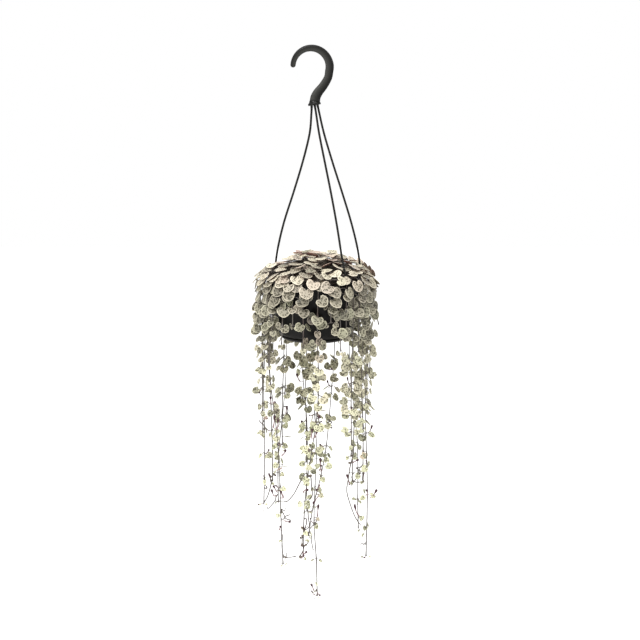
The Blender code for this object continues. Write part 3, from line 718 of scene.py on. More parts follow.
    def crown_leaf(self, tiling: Tiling, slot: Pair, loose: float, draw: np.random.Generator,
                   roots: tuple[Array, Array]) -> bool:
        """Tries one place and tilt for a crown leaf.

        Args:
            tiling: The layer.
            slot: The place, from crown_slots.
            loose: How much chance moves it, which shrinks with each try.
            draw: The chance.
            roots: Where stalks may root, from crown_roots.

        Returns:
            True where the leaf was set.
        """
        run, bearing = slot
        radius, height, slope = self.crown_at(abs(run + draw.normal(0, 2.6) * loose))
        out = outward(bearing + degrees(draw.normal(0, 3.0) * loose / max(radius, 7.0)))
        side = np.array([-out[1], out[0], 0.0])
        lean = slope - tiling.lean * min(1.0, run) + draw.normal(0, 0.22) * loose
        normal = unit(turned(UP, out, lean) + side * draw.normal(0, tiling.tilt) * loose)
        width = tiling.width + draw.normal(0, 1.2) * loose
        lift = draw.uniform(-3.4, 3.4) * loose + (2.2 if run == 0 else 0.0) - tiling.sink
        centre = out * radius + UP * height + turned(UP, out, slope) * lift
        lead = turned(out, -UP, slope) + side * draw.normal(0, 0.45)
        flat = unit(lead - normal * (lead @ normal))
        ideal = centre - flat * (Room.HEART_CENTRE * width + 4.5) - normal * 6.0
        places, owners = roots
        far = norm(places - ideal, axis=1)
        return any(self.settle(self.leaf_from(places[k], centre, normal, width, draw.normal(0, 0.25)), owners[k])
                   for k in self.nearest_of_each(far, owners, 4, tiling.stalk))

    def settle(self, leaf: Leaf | None, owner: int) -> bool:
        """Sets a leaf on its stem where it fits.

        Args:
            leaf: The leaf, if there is one.
            owner: The stem's index.

        Returns:
            True where it was set.
        """
        if leaf is None or not self.room.fits(leaf):
            return False
        self.room.add_leaf(leaf)
        self.leaves[owner].append(leaf)
        return True

    def hanging_width(self, depth: float, left: float) -> float:
        """Gives a hanging leaf's width by its depth and by the length of stem left below it."""
        return float(np.interp(depth, *np.array(self.widths).T)) * (0.55 + 0.45 * min(1.0, left / 55.0))

    def grow_hanging(self) -> None:
        """Sets leaves in pairs at the bends of each hanging stem, each pair turned a quarter from the last."""
        for level in range(max(len(points) - first for points, first in self.routes)):
            for i, (points, first) in enumerate(self.routes):
                if first + level < len(points) and -points[first + level][2] >= self.first_pair:
                    bend, before = points[first + level], points[first + level - 1]
                    self.place_pair(i, bend + unit(before - bend) * 1.5, level, 5000, 1.0)

    def grow_between(self) -> None:
        """Sets smaller pairs a little below the bends, so that leaves stand in clusters."""
        for i, (points, first) in enumerate(self.routes):
            bearing = self.stems[i].bearing
            for level in range(first, len(points) - 1):
                share = 0.5 if -points[level][2] < 60.0 else 0.2
                middle = points[level] * (1 - share) + points[level + 1] * share
                depth = -middle[2]
                side = abs(bearing) > 48.0 and depth > 0.4 * self.first_pair
                left, front = -128.0 < bearing < -48.0, abs(bearing) > 145.0
                if (side or depth > 85.0) and depth < (60.0 if left else 300.0 if front else 175.0):
                    self.place_pair(i, middle, level, 7000, 0.86)

    def place_pair(self, i: int, root: Array, level: int, seed: int, size: float) -> None:
        """Sets the pair of leaves of one bend, trying other turns of each until it clears what is there.

        Args:
            i: The stem's index.
            root: Where the stalks leave it.
            level: The bend's place down the stem.
            seed: Seed of the chance.
            size: Scale of the leaves' width.
        """
        stem, depth = self.stems[i], -root[2]
        face = unit(0.6 * outward(stem.bearing) + 0.7 * outward(0.0) + 0.3 * UP)
        turns = (82.0, -98.0) if level % 2 == 0 else (18.0, -150.0)
        for half in range(2):
            draw = chance(seed + i, level, half)
            width = size * self.hanging_width(depth, stem.drop - depth) * draw.uniform(0.88, 1.1)
            base = radians(stem.bearing + turns[half])
            for attempt in range(24):
                angle = base + draw.normal(0, 0.3 + 0.08 * attempt)
                out = np.array([sin(angle), -cos(angle), 0.0])
                droop = draw.uniform(0.5, 1.35)
                sink = droop * draw.uniform(0.35, 0.75)
                length = 0.28 * width + draw.uniform(1.8, 4.2)
                notch = root + length * turned(out, -UP, sink)
                axis = turned(out, -UP, droop)
                normal = self.faced(turned(UP, out, droop), axis, face, draw.uniform(0.5, 1.0))
                normal = unit(turned(normal, np.cross(axis, normal), draw.normal(0, 0.2)))
                centre = notch + axis * width * Room.HEART_CENTRE
                if self.settle(self.leaf_from(root, centre, normal, width, draw.normal(0, 0.3)), i):
                    break

    @staticmethod
    def faced(normal: Array, axis: Array, face: Array, share: float) -> Array:
        """Rolls a blade's normal about its axis by a share of the turn that brings it to the side it faces."""
        goal = face - axis * (face @ axis)
        return turned(normal, np.cross(axis, normal), share * atan2(np.cross(normal, goal) @ axis, normal @ goal))


@dataclass
class Tangle:
    """What is set one by one on the hanging threads: leaves, runs, flower buds and beads.

    Places are pixels of the picture. Each piece starts on the thread that shows nearest to its first pixel, and
    takes its depth from that thread, so it is carried by it from whatever side it is seen.
    """

    plan: PlantPlan
    sight: Sight = Sight()
    picks: Rows = (
        # across, down, width in pixels, way of the axis, tilt to edge-on, how dark, green and, where it is, pink
        (298.5, 250.5, 12, 160, -74, 0.55, 0, 1.6), (306.5, 250, 11, 20, -76, 0.9, 0.6),
        (313, 252.5, 12, -20, -72, 0.5, 0.1, 0.2), (291, 256.5, 12.5, 190, -66, 0.2, 0.1, 0.1),
        (322, 255.5, 12.5, -15, -72, 0.3, 0.1, 0.1), (333.5, 255, 12, 200, -75, 0.4, 0.1, 0.2),
        (343, 257.5, 12.5, -10, -72, 0.2, 0.1, 0.3), (352.5, 257.5, 12.5, -30, -68, 0.2, 0, 0.3),
        (361, 259, 12, -35, -60, 0.35, 0, 0.4), (366.5, 264, 10, -58, 66, 0.95, 0, 1.9),
        (370.5, 268, 9.5, -62, 60, 0.98, 0, 1.9), (373.5, 273, 9.5, -66, 62, 0.9, 0.1, 1.7),
        (362.5, 268.5, 12, -40, -50, 0.1, 0.1, 0.2), (368, 277, 12, -45, -48, 0.4, 0.2, 0.1),
        (376.5, 281, 11.5, -34, 74, 0.7, 0.3, 0.1), (379.5, 284.5, 10, -32, 76, 0.8, 0.2),
        (372, 286.5, 11.5, -50, 40, 0.5, 0.4), (287.5, 289.2, 13, 205, 8, 0, 0.25),
        (283.5, 307, 13, -90, 62, 0.75, 0.6), (289.5, 302.5, 8.5, -100, 35, 0.7, 0.9),
        (286.8, 323.5, 13.5, -105, 12, 0.15, 0.2), (299.5, 327.5, 10.5, -120, 20, 0.3, 0.6),
        (308.3, 331.2, 10.5, -60, 25, 0.25, 0.4), (311.5, 320.8, 9.5, -80, 30, 1, 0.1, 0.3),
        (320.5, 324.5, 12, -110, 12, 0.7, 0.7), (326.3, 320.5, 10, -70, 40, 0.75, 0.6),
        (318, 335, 9.5, -85, 45, 0.45, 0.1, 0.3), (338, 315.8, 10.5, 130, 20, 0.35, 0.3),
        (332.3, 333.8, 11, 190, 18, 0.15, 0.5), (342.8, 333.5, 11.5, -15, 18, 0.3, 0.7),
        (297.5, 308.8, 10.5, 200, 25, 0, 0.1, 0.2), (307.2, 309.8, 10.5, -80, 25, 0.05, 0.1, 0.1),
        (325.3, 308.2, 11, -60, 25, 0.1, 0.2, 0.1), (305, 341.5, 9, -95, 55, 0.8, 0.2, 0.4),
        (311.5, 342.5, 9, -85, 30, 0.75, 0.2, 0.4), (318.8, 342, 9, -100, 40, 0.7, 0.1, 0.4),
        (297.5, 355.5, 9.5, -120, 25, 0.75, 0.5), (303.5, 359.5, 9.5, -60, 30, 0.5, 0.5),
        (311, 357.5, 10, -100, 20, 0.6, 0.5, 0.2), (320, 359, 10, -80, 25, 0.7, 0.3, 0.3),
        (326, 356.5, 9, -40, 35, 0.9, 0.4, 0.2), (306, 373, 9, -90, 25, 0.8, 0.6), (318, 378, 9, -85, 30, 0.9, 0.6),
        (299, 390, 9.5, 200, 35, 0.3, 0.6), (304, 393, 9, -60, 25, 0.2, 0.6), (316.5, 387.5, 9.5, -70, 30, 0.1, 0.5),
        (311, 400, 9, -100, 25, 0.9, 0.7), (343, 372.5, 10.5, -30, 30, 0.8, 0.5), (334, 378, 9.5, 200, 25, 0.7, 0.5),
        (342, 390, 9.5, -60, 30, 0.7, 0.5), (295.5, 397.5, 8.5, 28, 82, 0.85, 0.4),
        (292, 436.3, 8.5, -12, 80, 0.8, 0.5), (323, 410.2, 8, 0, 82, 0.95, 0.2, 0.2),
        (372.5, 407.5, 9, -52, 80, 0.7, 0.6), (361, 403.8, 6.5, 178, 82, 0.7, 0.5),
        (342.2, 401, 10, -35, 25, 0.85, 0.7), (339, 429.4, 8.5, -20, 30, 0, 0.9),
        (350.8, 412.2, 7.5, 180, 40, 0.8, 0.9), (362.5, 420.8, 8.5, -30, 50, 0.2, 1.2),
        (276.8, 410.8, 8, 20, 35, 1, 0.3, 0.2), (265.8, 418, 6, 200, 40, 0.3, 0, 1.3),
        (302.2, 426, 8, 190, 30, 0.3, 1.5), (312.5, 424, 7.5, 10, 50, 0, 1.1), (273.4, 447.6, 6.5, 230, 30, 0.6, 1.2),
        (277, 452.6, 6, -15, 60, 0.9, 0.8), (302.7, 448.1, 7.5, 190, 35, 0, 1.2), (312.5, 445.6, 8, -60, 35, 1, 1.4),
        (350.8, 447.7, 6.5, 240, 35, 0.4, 1.4), (301.9, 463.6, 8, 190, 25, 0.5, 1.5),
        (309, 467.5, 8.5, -20, 40, 0, 1, 0.1), (313.8, 471.5, 7.5, -40, 35, 1, 1.2),
        (317.3, 465.8, 7.5, 30, 40, 0.1, 1.1), (279, 469, 9.5, 205, 74, 0, 0.2, 1.2),
        (288.3, 466.3, 8, 2, 82, 0.95, 0.4), (326.6, 459.7, 7, 110, 30, 0.6, 1), (333.6, 466.9, 8.5, -25, 25, 0.05, 1),
        (363.8, 455.8, 9, -30, 30, 0.1, 1.3, 0.6), (325.2, 496.6, 6.5, 200, 30, 0.3, 1.2, 0.2),
        (330.2, 495.8, 5.5, -50, 60, 0.7, 0.7), (309.3, 497, 6.5, 60, 30, 0.5, 1.5),
        (306.9, 502.8, 6.5, 200, 30, 0.7, 1.4), (305.3, 507.3, 5, 240, 40, 0.1, 1.2),
        (312.5, 489.2, 4.5, 100, 30, 0.8, 0.6), (318.8, 519, 5, -60, 35, 0.6, 1, 0.5),
        (278.8, 508, 6, 188, 78, 0.7, 0.5), (361.5, 518, 6.5, 250, 35, 0.3, 1.2), (364.6, 491.3, 6, -85, 70, 0.9, 1.3),
        (309.2, 540.5, 5, 160, 40, 0.5, 1.3, 0.1), (310.9, 533.5, 4.5, -70, 60, 0.3, 1.3),
        (362.1, 534.8, 4.5, 250, 45, 0.4, 1.2), (316.7, 584, 5, -80, 60, 0.5, 0.9),
        (314.4, 591.8, 4, 210, 60, 0.8, 0.6))
    runs: Rows = (
        # across and down of each bend
        (271.5, 480.5, 270.6, 486.1, 267.5, 496.6, 263.4, 503.3), (269.1, 488.5, 267.6, 485.5, 266.7, 481.3),
        (303.1, 473.2, 297.8, 482.3, 292.1, 493.3, 286.4, 500, 283.5, 501.4, 281, 501.4),
        (278, 494, 276, 497.1, 274.9, 500.9, 271.5, 505.2, 268.2, 508.6, 266.7, 506.9),
        (274.5, 474, 270.8, 477.5, 270.6, 481, 271.5, 483.5),
        (354, 445, 352.4, 457.5, 349.7, 468.3, 348.6, 477.5, 346.7, 490.6, 350, 503.6, 355.1, 517.1, 361.1, 525.8),
        (363.2, 464, 360.6, 466.8, 357, 468), (360.4, 467.2, 359.6, 470, 360.1, 473),
        (360, 473.2, 357.3, 477, 354, 481.8, 351.3, 485.7), (354, 481.8, 351.9, 478, 352.4, 475.4, 354.6, 471.6),
        (354, 481.8, 358, 482.3, 362.5, 481.6), (281.8, 511, 283.5, 513.9, 285.9, 518.6, 291.1, 520.3),
        (287.5, 518.6, 288.8, 516.2, 293.5, 514.3), (281.8, 509.5, 284.6, 510.8, 285.3, 507.9),
        (318.6, 520.5, 312.2, 528.2, 310.2, 531), (310, 531.2, 307.7, 533.3, 302.8, 535.8, 302, 541.4, 302, 545),
        (302, 545, 305.6, 545.4, 309.2, 541), (312, 477, 312.7, 484.7, 313.6, 495.7, 309.8, 500),
        (308.1, 509, 308.9, 517, 309.8, 526.8, 304.5, 530.5), (306.4, 519, 306.2, 524.4, 304.3, 530),
        (334.4, 422.4, 331, 426.2, 326.3, 427.2), (332, 425.3, 332.7, 428.6), (318.4, 419, 320, 425.8, 323.6, 432.1),
        (361.2, 413.1, 360, 416.7, 361.5, 420), (264.8, 418.5, 262, 423.3, 258.9, 420.4),
        (263, 424, 264.2, 426.5, 263.8, 430), (276.5, 444, 278.8, 445.3, 280.8, 446.8),
        (280.8, 462, 279.4, 461.6, 278.4, 460), (379.5, 300, 382, 308, 385, 317, 387, 325),
        (290, 407, 291.5, 410, 291, 414), (282.3, 535, 282, 548, 284, 556.4, 290, 557.2, 296.8, 556.2),
        (290.2, 556.8, 291.2, 554.5, 291, 552.3), (296.8, 556.4, 299.5, 551, 301, 545.4),
        (309.9, 531.2, 311.7, 537.3, 311.6, 541.9, 313.3, 550.6), (316.3, 589.9, 314.8, 591.4, 313.4, 592.5),
        (362.8, 544.2, 360.8, 543.2, 360.2, 545), (362.8, 544.2, 365, 543, 365.4, 541.3))
    blooms: Rows = (
        # across and down of each bend, foot first, dark end last
        (276.9, 492, 274.9, 488.5, 273.2, 485.4), (276.8, 495.2, 274, 495.9, 272.6, 493, 271.5, 489.2),
        (293.4, 491.3, 296.5, 488.6, 299.2, 489.2), (288.3, 496.9, 287.1, 493.6, 285.4, 489.2),
        (291.1, 520.3, 294.5, 521.3, 298, 521.4), (279.6, 530, 280, 528, 280.7, 525.9),
        (319.9, 484.7, 318.4, 488, 315.9, 490.9), (321, 495, 318, 499.5, 314.6, 504.3),
        (317.6, 517, 318.4, 511.5, 319, 504.2), (319.2, 470.8, 320.6, 468, 321.2, 464.6),
        (342.6, 493.2, 340.6, 489.5, 339.2, 483.6), (344.6, 492.2, 342.8, 493),
        (370.6, 498, 374.2, 494.6, 377.3, 489.3), (359.6, 516.6, 356.6, 512.6, 354.5, 504.6),
        (352.4, 462.8, 355.4, 461.2, 358.8, 459.2), (311.6, 590.6, 310, 587, 308.5, 583.6),
        (317, 592.6, 318.4, 594, 320.4, 595.8), (300.4, 381.5, 298, 378, 296.6, 373.4),
        (336.2, 360, 335, 365, 331, 369.6), (330.5, 369.8, 328.5, 369.4, 326.4, 368.2),
        (289.3, 455.2, 292.2, 452.4, 293.2, 448.8), (289.2, 414.6, 289.8, 411, 290.6, 406.2),
        (276.6, 429.8, 277.9, 425, 277.9, 418.4), (273.5, 428, 274.2, 422, 274.6, 415),
        (311.2, 438, 311.8, 434, 312.4, 428.6), (314.2, 438, 316, 434.6, 317.3, 430.6),
        (298.6, 427.4, 297.4, 424, 297, 420.4), (316.4, 409.5, 317.6, 413, 320, 418.4),
        (359.4, 416.8, 357.6, 414.8, 355.4, 412.6), (270.9, 404, 270.7, 400, 270.4, 396.4),
        (272.4, 403.4, 273.8, 402.7, 275.6, 401.6), (300, 559.6, 301.6, 557.6, 302.8, 555.4),
        (302.4, 552.4, 304.6, 553.6, 307, 551.2), (288.6, 498, 287, 494, 285.6, 489.6),
        (321.2, 470.6, 320.4, 464, 320.4, 457.8), (367.1, 495.8, 367.4, 492, 366.4, 489.4))
    beads: Rows = (
        # across, down, radius before its scale
        (270.3, 476.2, 1.25), (270.6, 480, 1.15), (275.2, 475.2, 1.6), (278.2, 490.4, 1.5), (303.9, 530.8, 2),
        (301.8, 527.6, 1.2), (302.2, 535.8, 1.1), (300.6, 537.8, 1.3), (302, 545, 1.9), (305.7, 545, 1.6),
        (285.5, 557, 1.1), (290, 557.2, 1.1), (295.2, 556.2, 1.6), (321, 459.6, 1.3), (349.3, 462.9, 1.5),
        (351.2, 462.6, 1.1), (349.2, 472.7, 1.1), (350.2, 504.6, 0.9), (363.2, 481.6, 1.5), (354, 481.7, 1),
        (356.8, 468.1, 1.1), (360.2, 473.1, 1.1), (334.2, 428.2, 1.1), (357.2, 425.6, 1.5), (310.4, 475.8, 1.4),
        (308.4, 450, 1.6), (306.7, 437, 1), (306.7, 440.2, 0.8), (278, 501.8, 1.3), (281.8, 509.5, 1.2),
        (362.8, 544.2, 1.1), (317.2, 413, 1.7), (318.8, 416.6, 1.5), (273.7, 446, 1.3), (262.3, 424.2, 0.9),
        (277.9, 418.8, 1.5), (270.2, 414.2, 1.4), (316.3, 589.9, 1), (283.4, 464.8, 1.2), (346.8, 490, 1.1))
    samples: Array = field(init=False)
    owners: Array = field(init=False)
    pixels: Array = field(init=False)

    def __post_init__(self) -> None:
        """Spreads points down every thread and notes where each one shows."""
        lines = [dense(smooth_line(points[max(first - 3, 0):], 6), 1.2) for points, first in self.plan.routes]
        self.samples = np.concatenate(lines)
        self.owners = np.repeat(np.arange(len(lines)), [len(line) for line in lines])
        self.pixels = self.sight.seen(self.samples)

    def holder(self, pixel: Array) -> int:
        """Finds the thread's point that shows nearest to a pixel, with a small lead for the ones in front."""
        away = norm(self.pixels - pixel, axis=1)
        return int(np.argmin(away + 0.02 * (self.samples[:, 1] + 80.0)))

    def pulled(self, pixel: Array, reach: float) -> Array:
        """Brings a pixel within reach of the thread that shows nearest to it."""
        away = self.pixels[self.holder(pixel)] - pixel
        return pixel + away * max(0.0, 1.0 - reach / max(float(norm(away)), reach))

    def line(self, row: tuple[float, ...]) -> tuple[Array, float]:
        """Carries a row of pixels into the plant, from its thread and at that thread's depth.

        Where the last pixel shows on another thread, the line's depth runs over to that one.

        Args:
            row: The pixels, each one's two numbers in turn.

        Returns:
            The line's points, the first on its thread, and how long its first stretch is.
        """
        pixels = np.array(row, float).reshape(-1, 2)
        pixels = pixels + (self.pulled(pixels[0], 3.0) - pixels[0])
        start = self.samples[self.holder(pixels[0])]
        last = self.holder(pixels[-1])
        joined = norm(self.pixels[last] - pixels[-1]) < 1.6
        depth = np.full(len(pixels), start[1] - 1.0)
        if joined and len(pixels) > 3 and abs(self.samples[last, 1] - start[1]) < 45.0:
            depth = np.linspace(start[1], self.samples[last, 1], len(pixels))
        points = np.vstack([start, self.sight.at(pixels, depth)])
        return points, float(norm(points[1] - start))

    def add_leaves(self) -> None:
        """Adds the listed leaves to the plan, each to the stem that carries it.

        The blade's axis and normal are turned in the picture's plane, and tilted from it to edge-on.
        """
        forward, upward = self.sight.ways()
        for across, low, size, way, tilt, *tone in self.picks:
            pixel = self.pulled(np.array([across, low]), 0.55 * size + 1.5)
            found = self.holder(pixel)
            root = self.samples[found]
            centre = self.sight.at(pixel[None], root[1] - 2.5)[0]
            width = size * float((centre + POT_RIM - self.sight.place) @ forward) / self.sight.focal
            turn, lean = radians(way), radians(tilt)
            axis = turned(np.array([1.0, 0.0, 0.0]), upward, turn)
            beside = np.cross(axis, forward)
            beside *= copysign(1.0, beside[2])
            normal = unit(-cos(lean) * forward + abs(sin(lean)) * beside * copysign(1.0, -tilt))
            notch = centre - axis * width * Room.HEART_CENTRE
            self.plan.leaves[self.owners[found]].append(Leaf(root, notch, axis, normal, width, (*tone, 0.0)[:3]))

    def strings(self) -> Surface:
        """Draws the runs as thin tubes with a knob at the end, and the fine stalks that carry the beads.

        Returns:
            The tubes.
        """
        lines = [spread(smooth_line(self.line(row)[0], 6), 20) for row in self.runs]
        for across, low, _ in self.beads:
            lines.append(spread(self.line((across, low))[0] + [[0.0, 0.0, 0.0], [0.0, 0.4, 0.0]], 20))
        lines = np.array(lines)
        lengths = norm(np.diff(lines, axis=1), axis=2).sum(axis=1)
        shape = np.interp(np.linspace(0, 1, 20), [0.0, 0.5, 0.9, 0.96, 1.0], [0.86, 0.78, 0.72, 0.95, 0.4])
        radii = shape * np.clip(lengths / 14.0, 0.5, 1.0)[:, None]
        return tubes(lines + POT_RIM, radii, np.array([0.03, 1.0, 0.02]), 5)

    def flowers(self) -> Surface:
        """Draws the listed buds: a fine stalk, a swollen foot, a slim tube and a dark thicker end.

        Returns:
            The buds.
        """
        rows = [self.line(row) for row in self.blooms]
        lines = np.array([spread(smooth_line(points, 6), 22) for points, _ in rows])
        lengths = norm(np.diff(lines, axis=1), axis=2).sum(axis=1)
        share = np.linspace(0.0, 1.0, 22)[None, :]
        start = np.minimum(np.array([length for _, length in rows]) / lengths, 0.7)[:, None]
        along = np.clip((share - start) / (1.0 - start), 0.0, 1.0)
        shape = np.interp(along, [0.0, 0.06, 0.16, 0.30, 0.56, 0.72, 0.86, 0.96, 1.0],
                          [0.40, 0.95, 1.15, 0.80, 0.78, 1.40, 1.85, 1.60, 0.6])
        made = tubes(lines + POT_RIM, shape, np.array([0.03, 1.0, 0.02]), 8)
        made.values["along"] = np.repeat(along.ravel(), 8)
        return made

    def tubers(self) -> Surface:
        """Draws the listed beads as small lumps at the ends of their stalks."""
        spots = np.array([self.line((across, low))[0][-1] for across, low, _ in self.beads])
        return pebbles(spots + POT_RIM, 1.32 * np.array([size for _, _, size in self.beads]), 75)


class Sector(Enum):
    """The quarters of the foliage, each with the middle of its bearings."""

    FRONT = 0.0
    RIGHT = 90.0
    BACK = 180.0
    LEFT = 270.0

    @classmethod
    def of(cls, bearing: float) -> "Sector":
        """Gives the quarter that a bearing lies in."""
        return min(cls, key=lambda sector: abs((bearing - sector.value + 180.0) % 360.0 - 180.0))


@dataclass
class Shader:
    """A material or node group in the making, and the place that its patterns lie in."""

    tree: bpy.types.NodeTree
    place: Socket | None = None

    def plug(self, node: Node, inputs: Inputs) -> Node:
        """Links or sets a node's inputs, a colour with its alpha at one.

        Args:
            node: The node.
            inputs: A socket or a value for each input's name or place.

        Returns:
            The same node.
        """
        for key, value in inputs.items():
            socket = node.inputs[key]
            if isinstance(value, Socket):
                self.tree.links.new(value, socket)
            else:
                socket.default_value = (*value, 1.0) if socket.type == "RGBA" else value
        return node

    def node(self, kind: str, inputs: Inputs | None = None, **settings: object) -> Node:
        """Adds a shader node.

        Args:
            kind: What the name of its type ends in.
            inputs: What goes into its inputs.
            **settings: Its properties.

        Returns:
            The node.
        """
        made = self.tree.nodes.new("ShaderNode" + kind)
        for name, value in settings.items():
            setattr(made, name, value)
        return self.plug(made, inputs or {})

    def surface(self, inputs: Inputs) -> None:
        """Links or sets the Principled node's inputs."""
        self.plug(self.tree.nodes["Principled BSDF"], inputs)

    def value(self, name: str, output: str = "Fac") -> Socket:
        """Reads one of the mesh's values."""
        return self.node("Attribute", attribute_name=name).outputs[output]

    def math(self, operation: str, *values: object) -> Socket:
        """Works out one sum of numbers or sockets."""
        return self.node("Math", dict(enumerate(values)), operation=operation).outputs[0]

    def times(self, first: object, second: object) -> Socket:
        """Multiplies two numbers or sockets."""
        return self.math("MULTIPLY", first, second)

    def ramp(self, value: Socket, low: float, high: float, start: float = 0.0, end: float = 1.0) -> Socket:
        """Maps a value from low to high smoothly onto start to end, held at both."""
        ends = {"Value": value, "From Min": low, "From Max": high, "To Min": start, "To Max": end}
        return self.node("MapRange", ends, interpolation_type="SMOOTHSTEP").outputs["Result"]

    def mix(self, share: object, first: object, second: object) -> Socket:
        """Mixes two colours, by the share of the second."""
        return self.node("Mix", {0: share, 6: first, 7: second}, data_type="RGBA").outputs[2]

    def noise(self, scale: float, detail: float = 3.0, roughness: float = 0.55) -> Socket:
        """Gives cloudy noise over the place, with clouds per metre, finer layers and their strength."""
        inputs = {"Vector": self.place, "Scale": scale, "Detail": detail, "Roughness": roughness}
        return self.node("TexNoise", inputs).outputs["Fac"]

    def bump(self, height: Socket, strength: float, distance: float) -> None:
        """Feeds a height into the surface's normal, with a strength and a distance in metres."""
        made = self.node("Bump", {"Strength": strength, "Distance": distance, "Height": height})
        self.surface({"Normal": made.outputs["Normal"]})


def start_group(name: str, inputs: str, outputs: str) -> tuple[Shader, Node, Node]:
    """Starts a node group with named sockets, a vector for the place and floats for the rest.

    Args:
        name: The group's name.
        inputs: The inputs' names, with commas between.
        outputs: The outputs' names.

    Returns:
        The shader, the group's input node and its output node.
    """
    tree = bpy.data.node_groups.new(name, "ShaderNodeTree")
    for way, keys in (("INPUT", inputs), ("OUTPUT", outputs)):
        for key in keys.split(", "):
            kind = "NodeSocketVector" if key == "Vector" else "NodeSocketFloat"
            tree.interface.new_socket(key, in_out=way, socket_type=kind)
    source, sink = tree.nodes.new("NodeGroupInput"), tree.nodes.new("NodeGroupOutput")
    return Shader(tree, source.outputs["Vector"]), source, sink


@cache
def plastic_grain_group() -> bpy.types.NodeTree:
    """Builds the moulded plastic's shared effect: fine grain, soft flow clouds and pale dust on upward faces.

    Returns:
        The node group.
    """
    shader, source, sink = start_group("moulded_plastic_grain", "Vector, Dust", "Cloud, Dust Mask, Height")
    cloud = shader.noise(38.0, 4.0)
    grain = shader.noise(2600.0, 2.0, 0.6)
    scuffs = shader.noise(240.0, 5.0, 0.7)
    facing = shader.plug(shader.node("SeparateXYZ"), {"Vector": shader.node("NewGeometry").outputs["Normal"]})
    upward = shader.ramp(facing.outputs["Z"], 0.1, 0.95)
    dust = shader.times(shader.times(upward, shader.ramp(scuffs, 0.4, 0.72)), source.outputs["Dust"])
    height = shader.math("ADD", shader.times(grain, 0.6), shader.times(scuffs, 0.4))
    shader.plug(sink, {"Cloud": cloud, "Dust Mask": dust, "Height": height})
    return shader.tree


@cache
def speckle_group() -> bpy.types.NodeTree:
    """Builds the leaves' shared marbling: dark dots in the cells of a cell pattern, joined by cloudy patches.

    Returns:
        The node group.
    """
    shader, source, sink = start_group("leaf_speckles", "Vector, Size, Amount", "Dots, Cloud, Height")
    size, amount = source.outputs["Size"], source.outputs["Amount"]
    bend = shader.node("TexNoise", {"Vector": shader.place, "Scale": 420.0, "Detail": 2.0}).outputs["Color"]
    inputs = {0: bend, 1: (0.0016, 0.0016, 0.0016), 2: shader.place}
    shift = shader.node("VectorMath", inputs, operation="MULTIPLY_ADD")
    cells = shader.node("TexVoronoi", {"Vector": shift.outputs[0], "Scale": size, "Randomness": 0.9}, feature="F1")
    patches = shader.noise(170.0, 3.0)
    reach = shader.math("ADD", shader.math("MULTIPLY_ADD", amount, 0.36, 0.04), shader.times(patches, 0.34))
    dots = shader.node("MapRange", interpolation_type="SMOOTHSTEP")
    inside = shader.math("SUBTRACT", reach, cells.outputs["Distance"])
    shader.plug(dots, {"Value": inside, "From Min": -0.05, "From Max": 0.10})
    height = shader.math("SUBTRACT", 1.0, dots.outputs["Result"])
    shader.plug(sink, {"Dots": dots.outputs["Result"], "Cloud": patches, "Height": height})
    return shader.tree


@dataclass(frozen=True)
class Finish:
    """A finish: its name, base colour and how glossy it is."""

    name: str
    color: Triple
    roughness: float

    def material(self) -> bpy.types.Material:
        """Gives the finish's material, made at the first call.

        Returns:
            The material.
        """
        made = bpy.data.materials.get(self.name)
        if made is None:
            made = bpy.data.materials.new(self.name)
            made.use_nodes = True
            made.diffuse_color = (*self.color, 1.0)
            shader = Shader(made.node_tree)
            shader.surface({"Base Color": self.color, "Roughness": self.roughness})
            shader.place = shader.node("TexCoord").outputs["Object"]
            self.dress(shader)
        return made

    def dress(self, shader: Shader) -> None:
        """Adds what is this finish's own, over the Object coordinates."""


@dataclass(frozen=True)
class MouldedPlastic(Finish):
    """Satin moulded plastic with fine grain, faint flow clouds and a little dust."""

    dust: float = 0.3
    gloss: float = 0.5
    # colour of a painted highlight on the inner edge, if any
    painted_inner_highlight: Triple | None = None

    def dress(self, shader: Shader) -> None:
        """Lays clouds, a painted highlight on the inner edge by the mesh's value for it, and dust over the colour.

        Args:
            shader: The material in the making.
        """
        grain = shader.node("Group", node_tree=plastic_grain_group())
        shader.plug(grain, {"Vector": shader.place, "Dust": self.dust})
        cloud = grain.outputs["Cloud"]
        color = shader.mix(cloud, self.color, tuple(min(1.0, c * 1.5 + 0.006) for c in self.color))
        # Painted highlight: the hook's inner edge is painted paler, as where light catches it, by the mesh's value
        # that marks it.
        if self.painted_inner_highlight:
            color = shader.mix(shader.value("painted_inner_highlight"), color, self.painted_inner_highlight)
        color = shader.mix(grain.outputs["Dust Mask"], color, (0.16, 0.15, 0.13))
        rough = shader.ramp(cloud, 0.3, 0.7, self.roughness - 0.06, self.roughness + 0.08)
        shader.surface({"Base Color": color, "Roughness": rough, "Specular IOR Level": self.gloss})
        shader.bump(grain.outputs["Height"], 0.25, 0.00025)


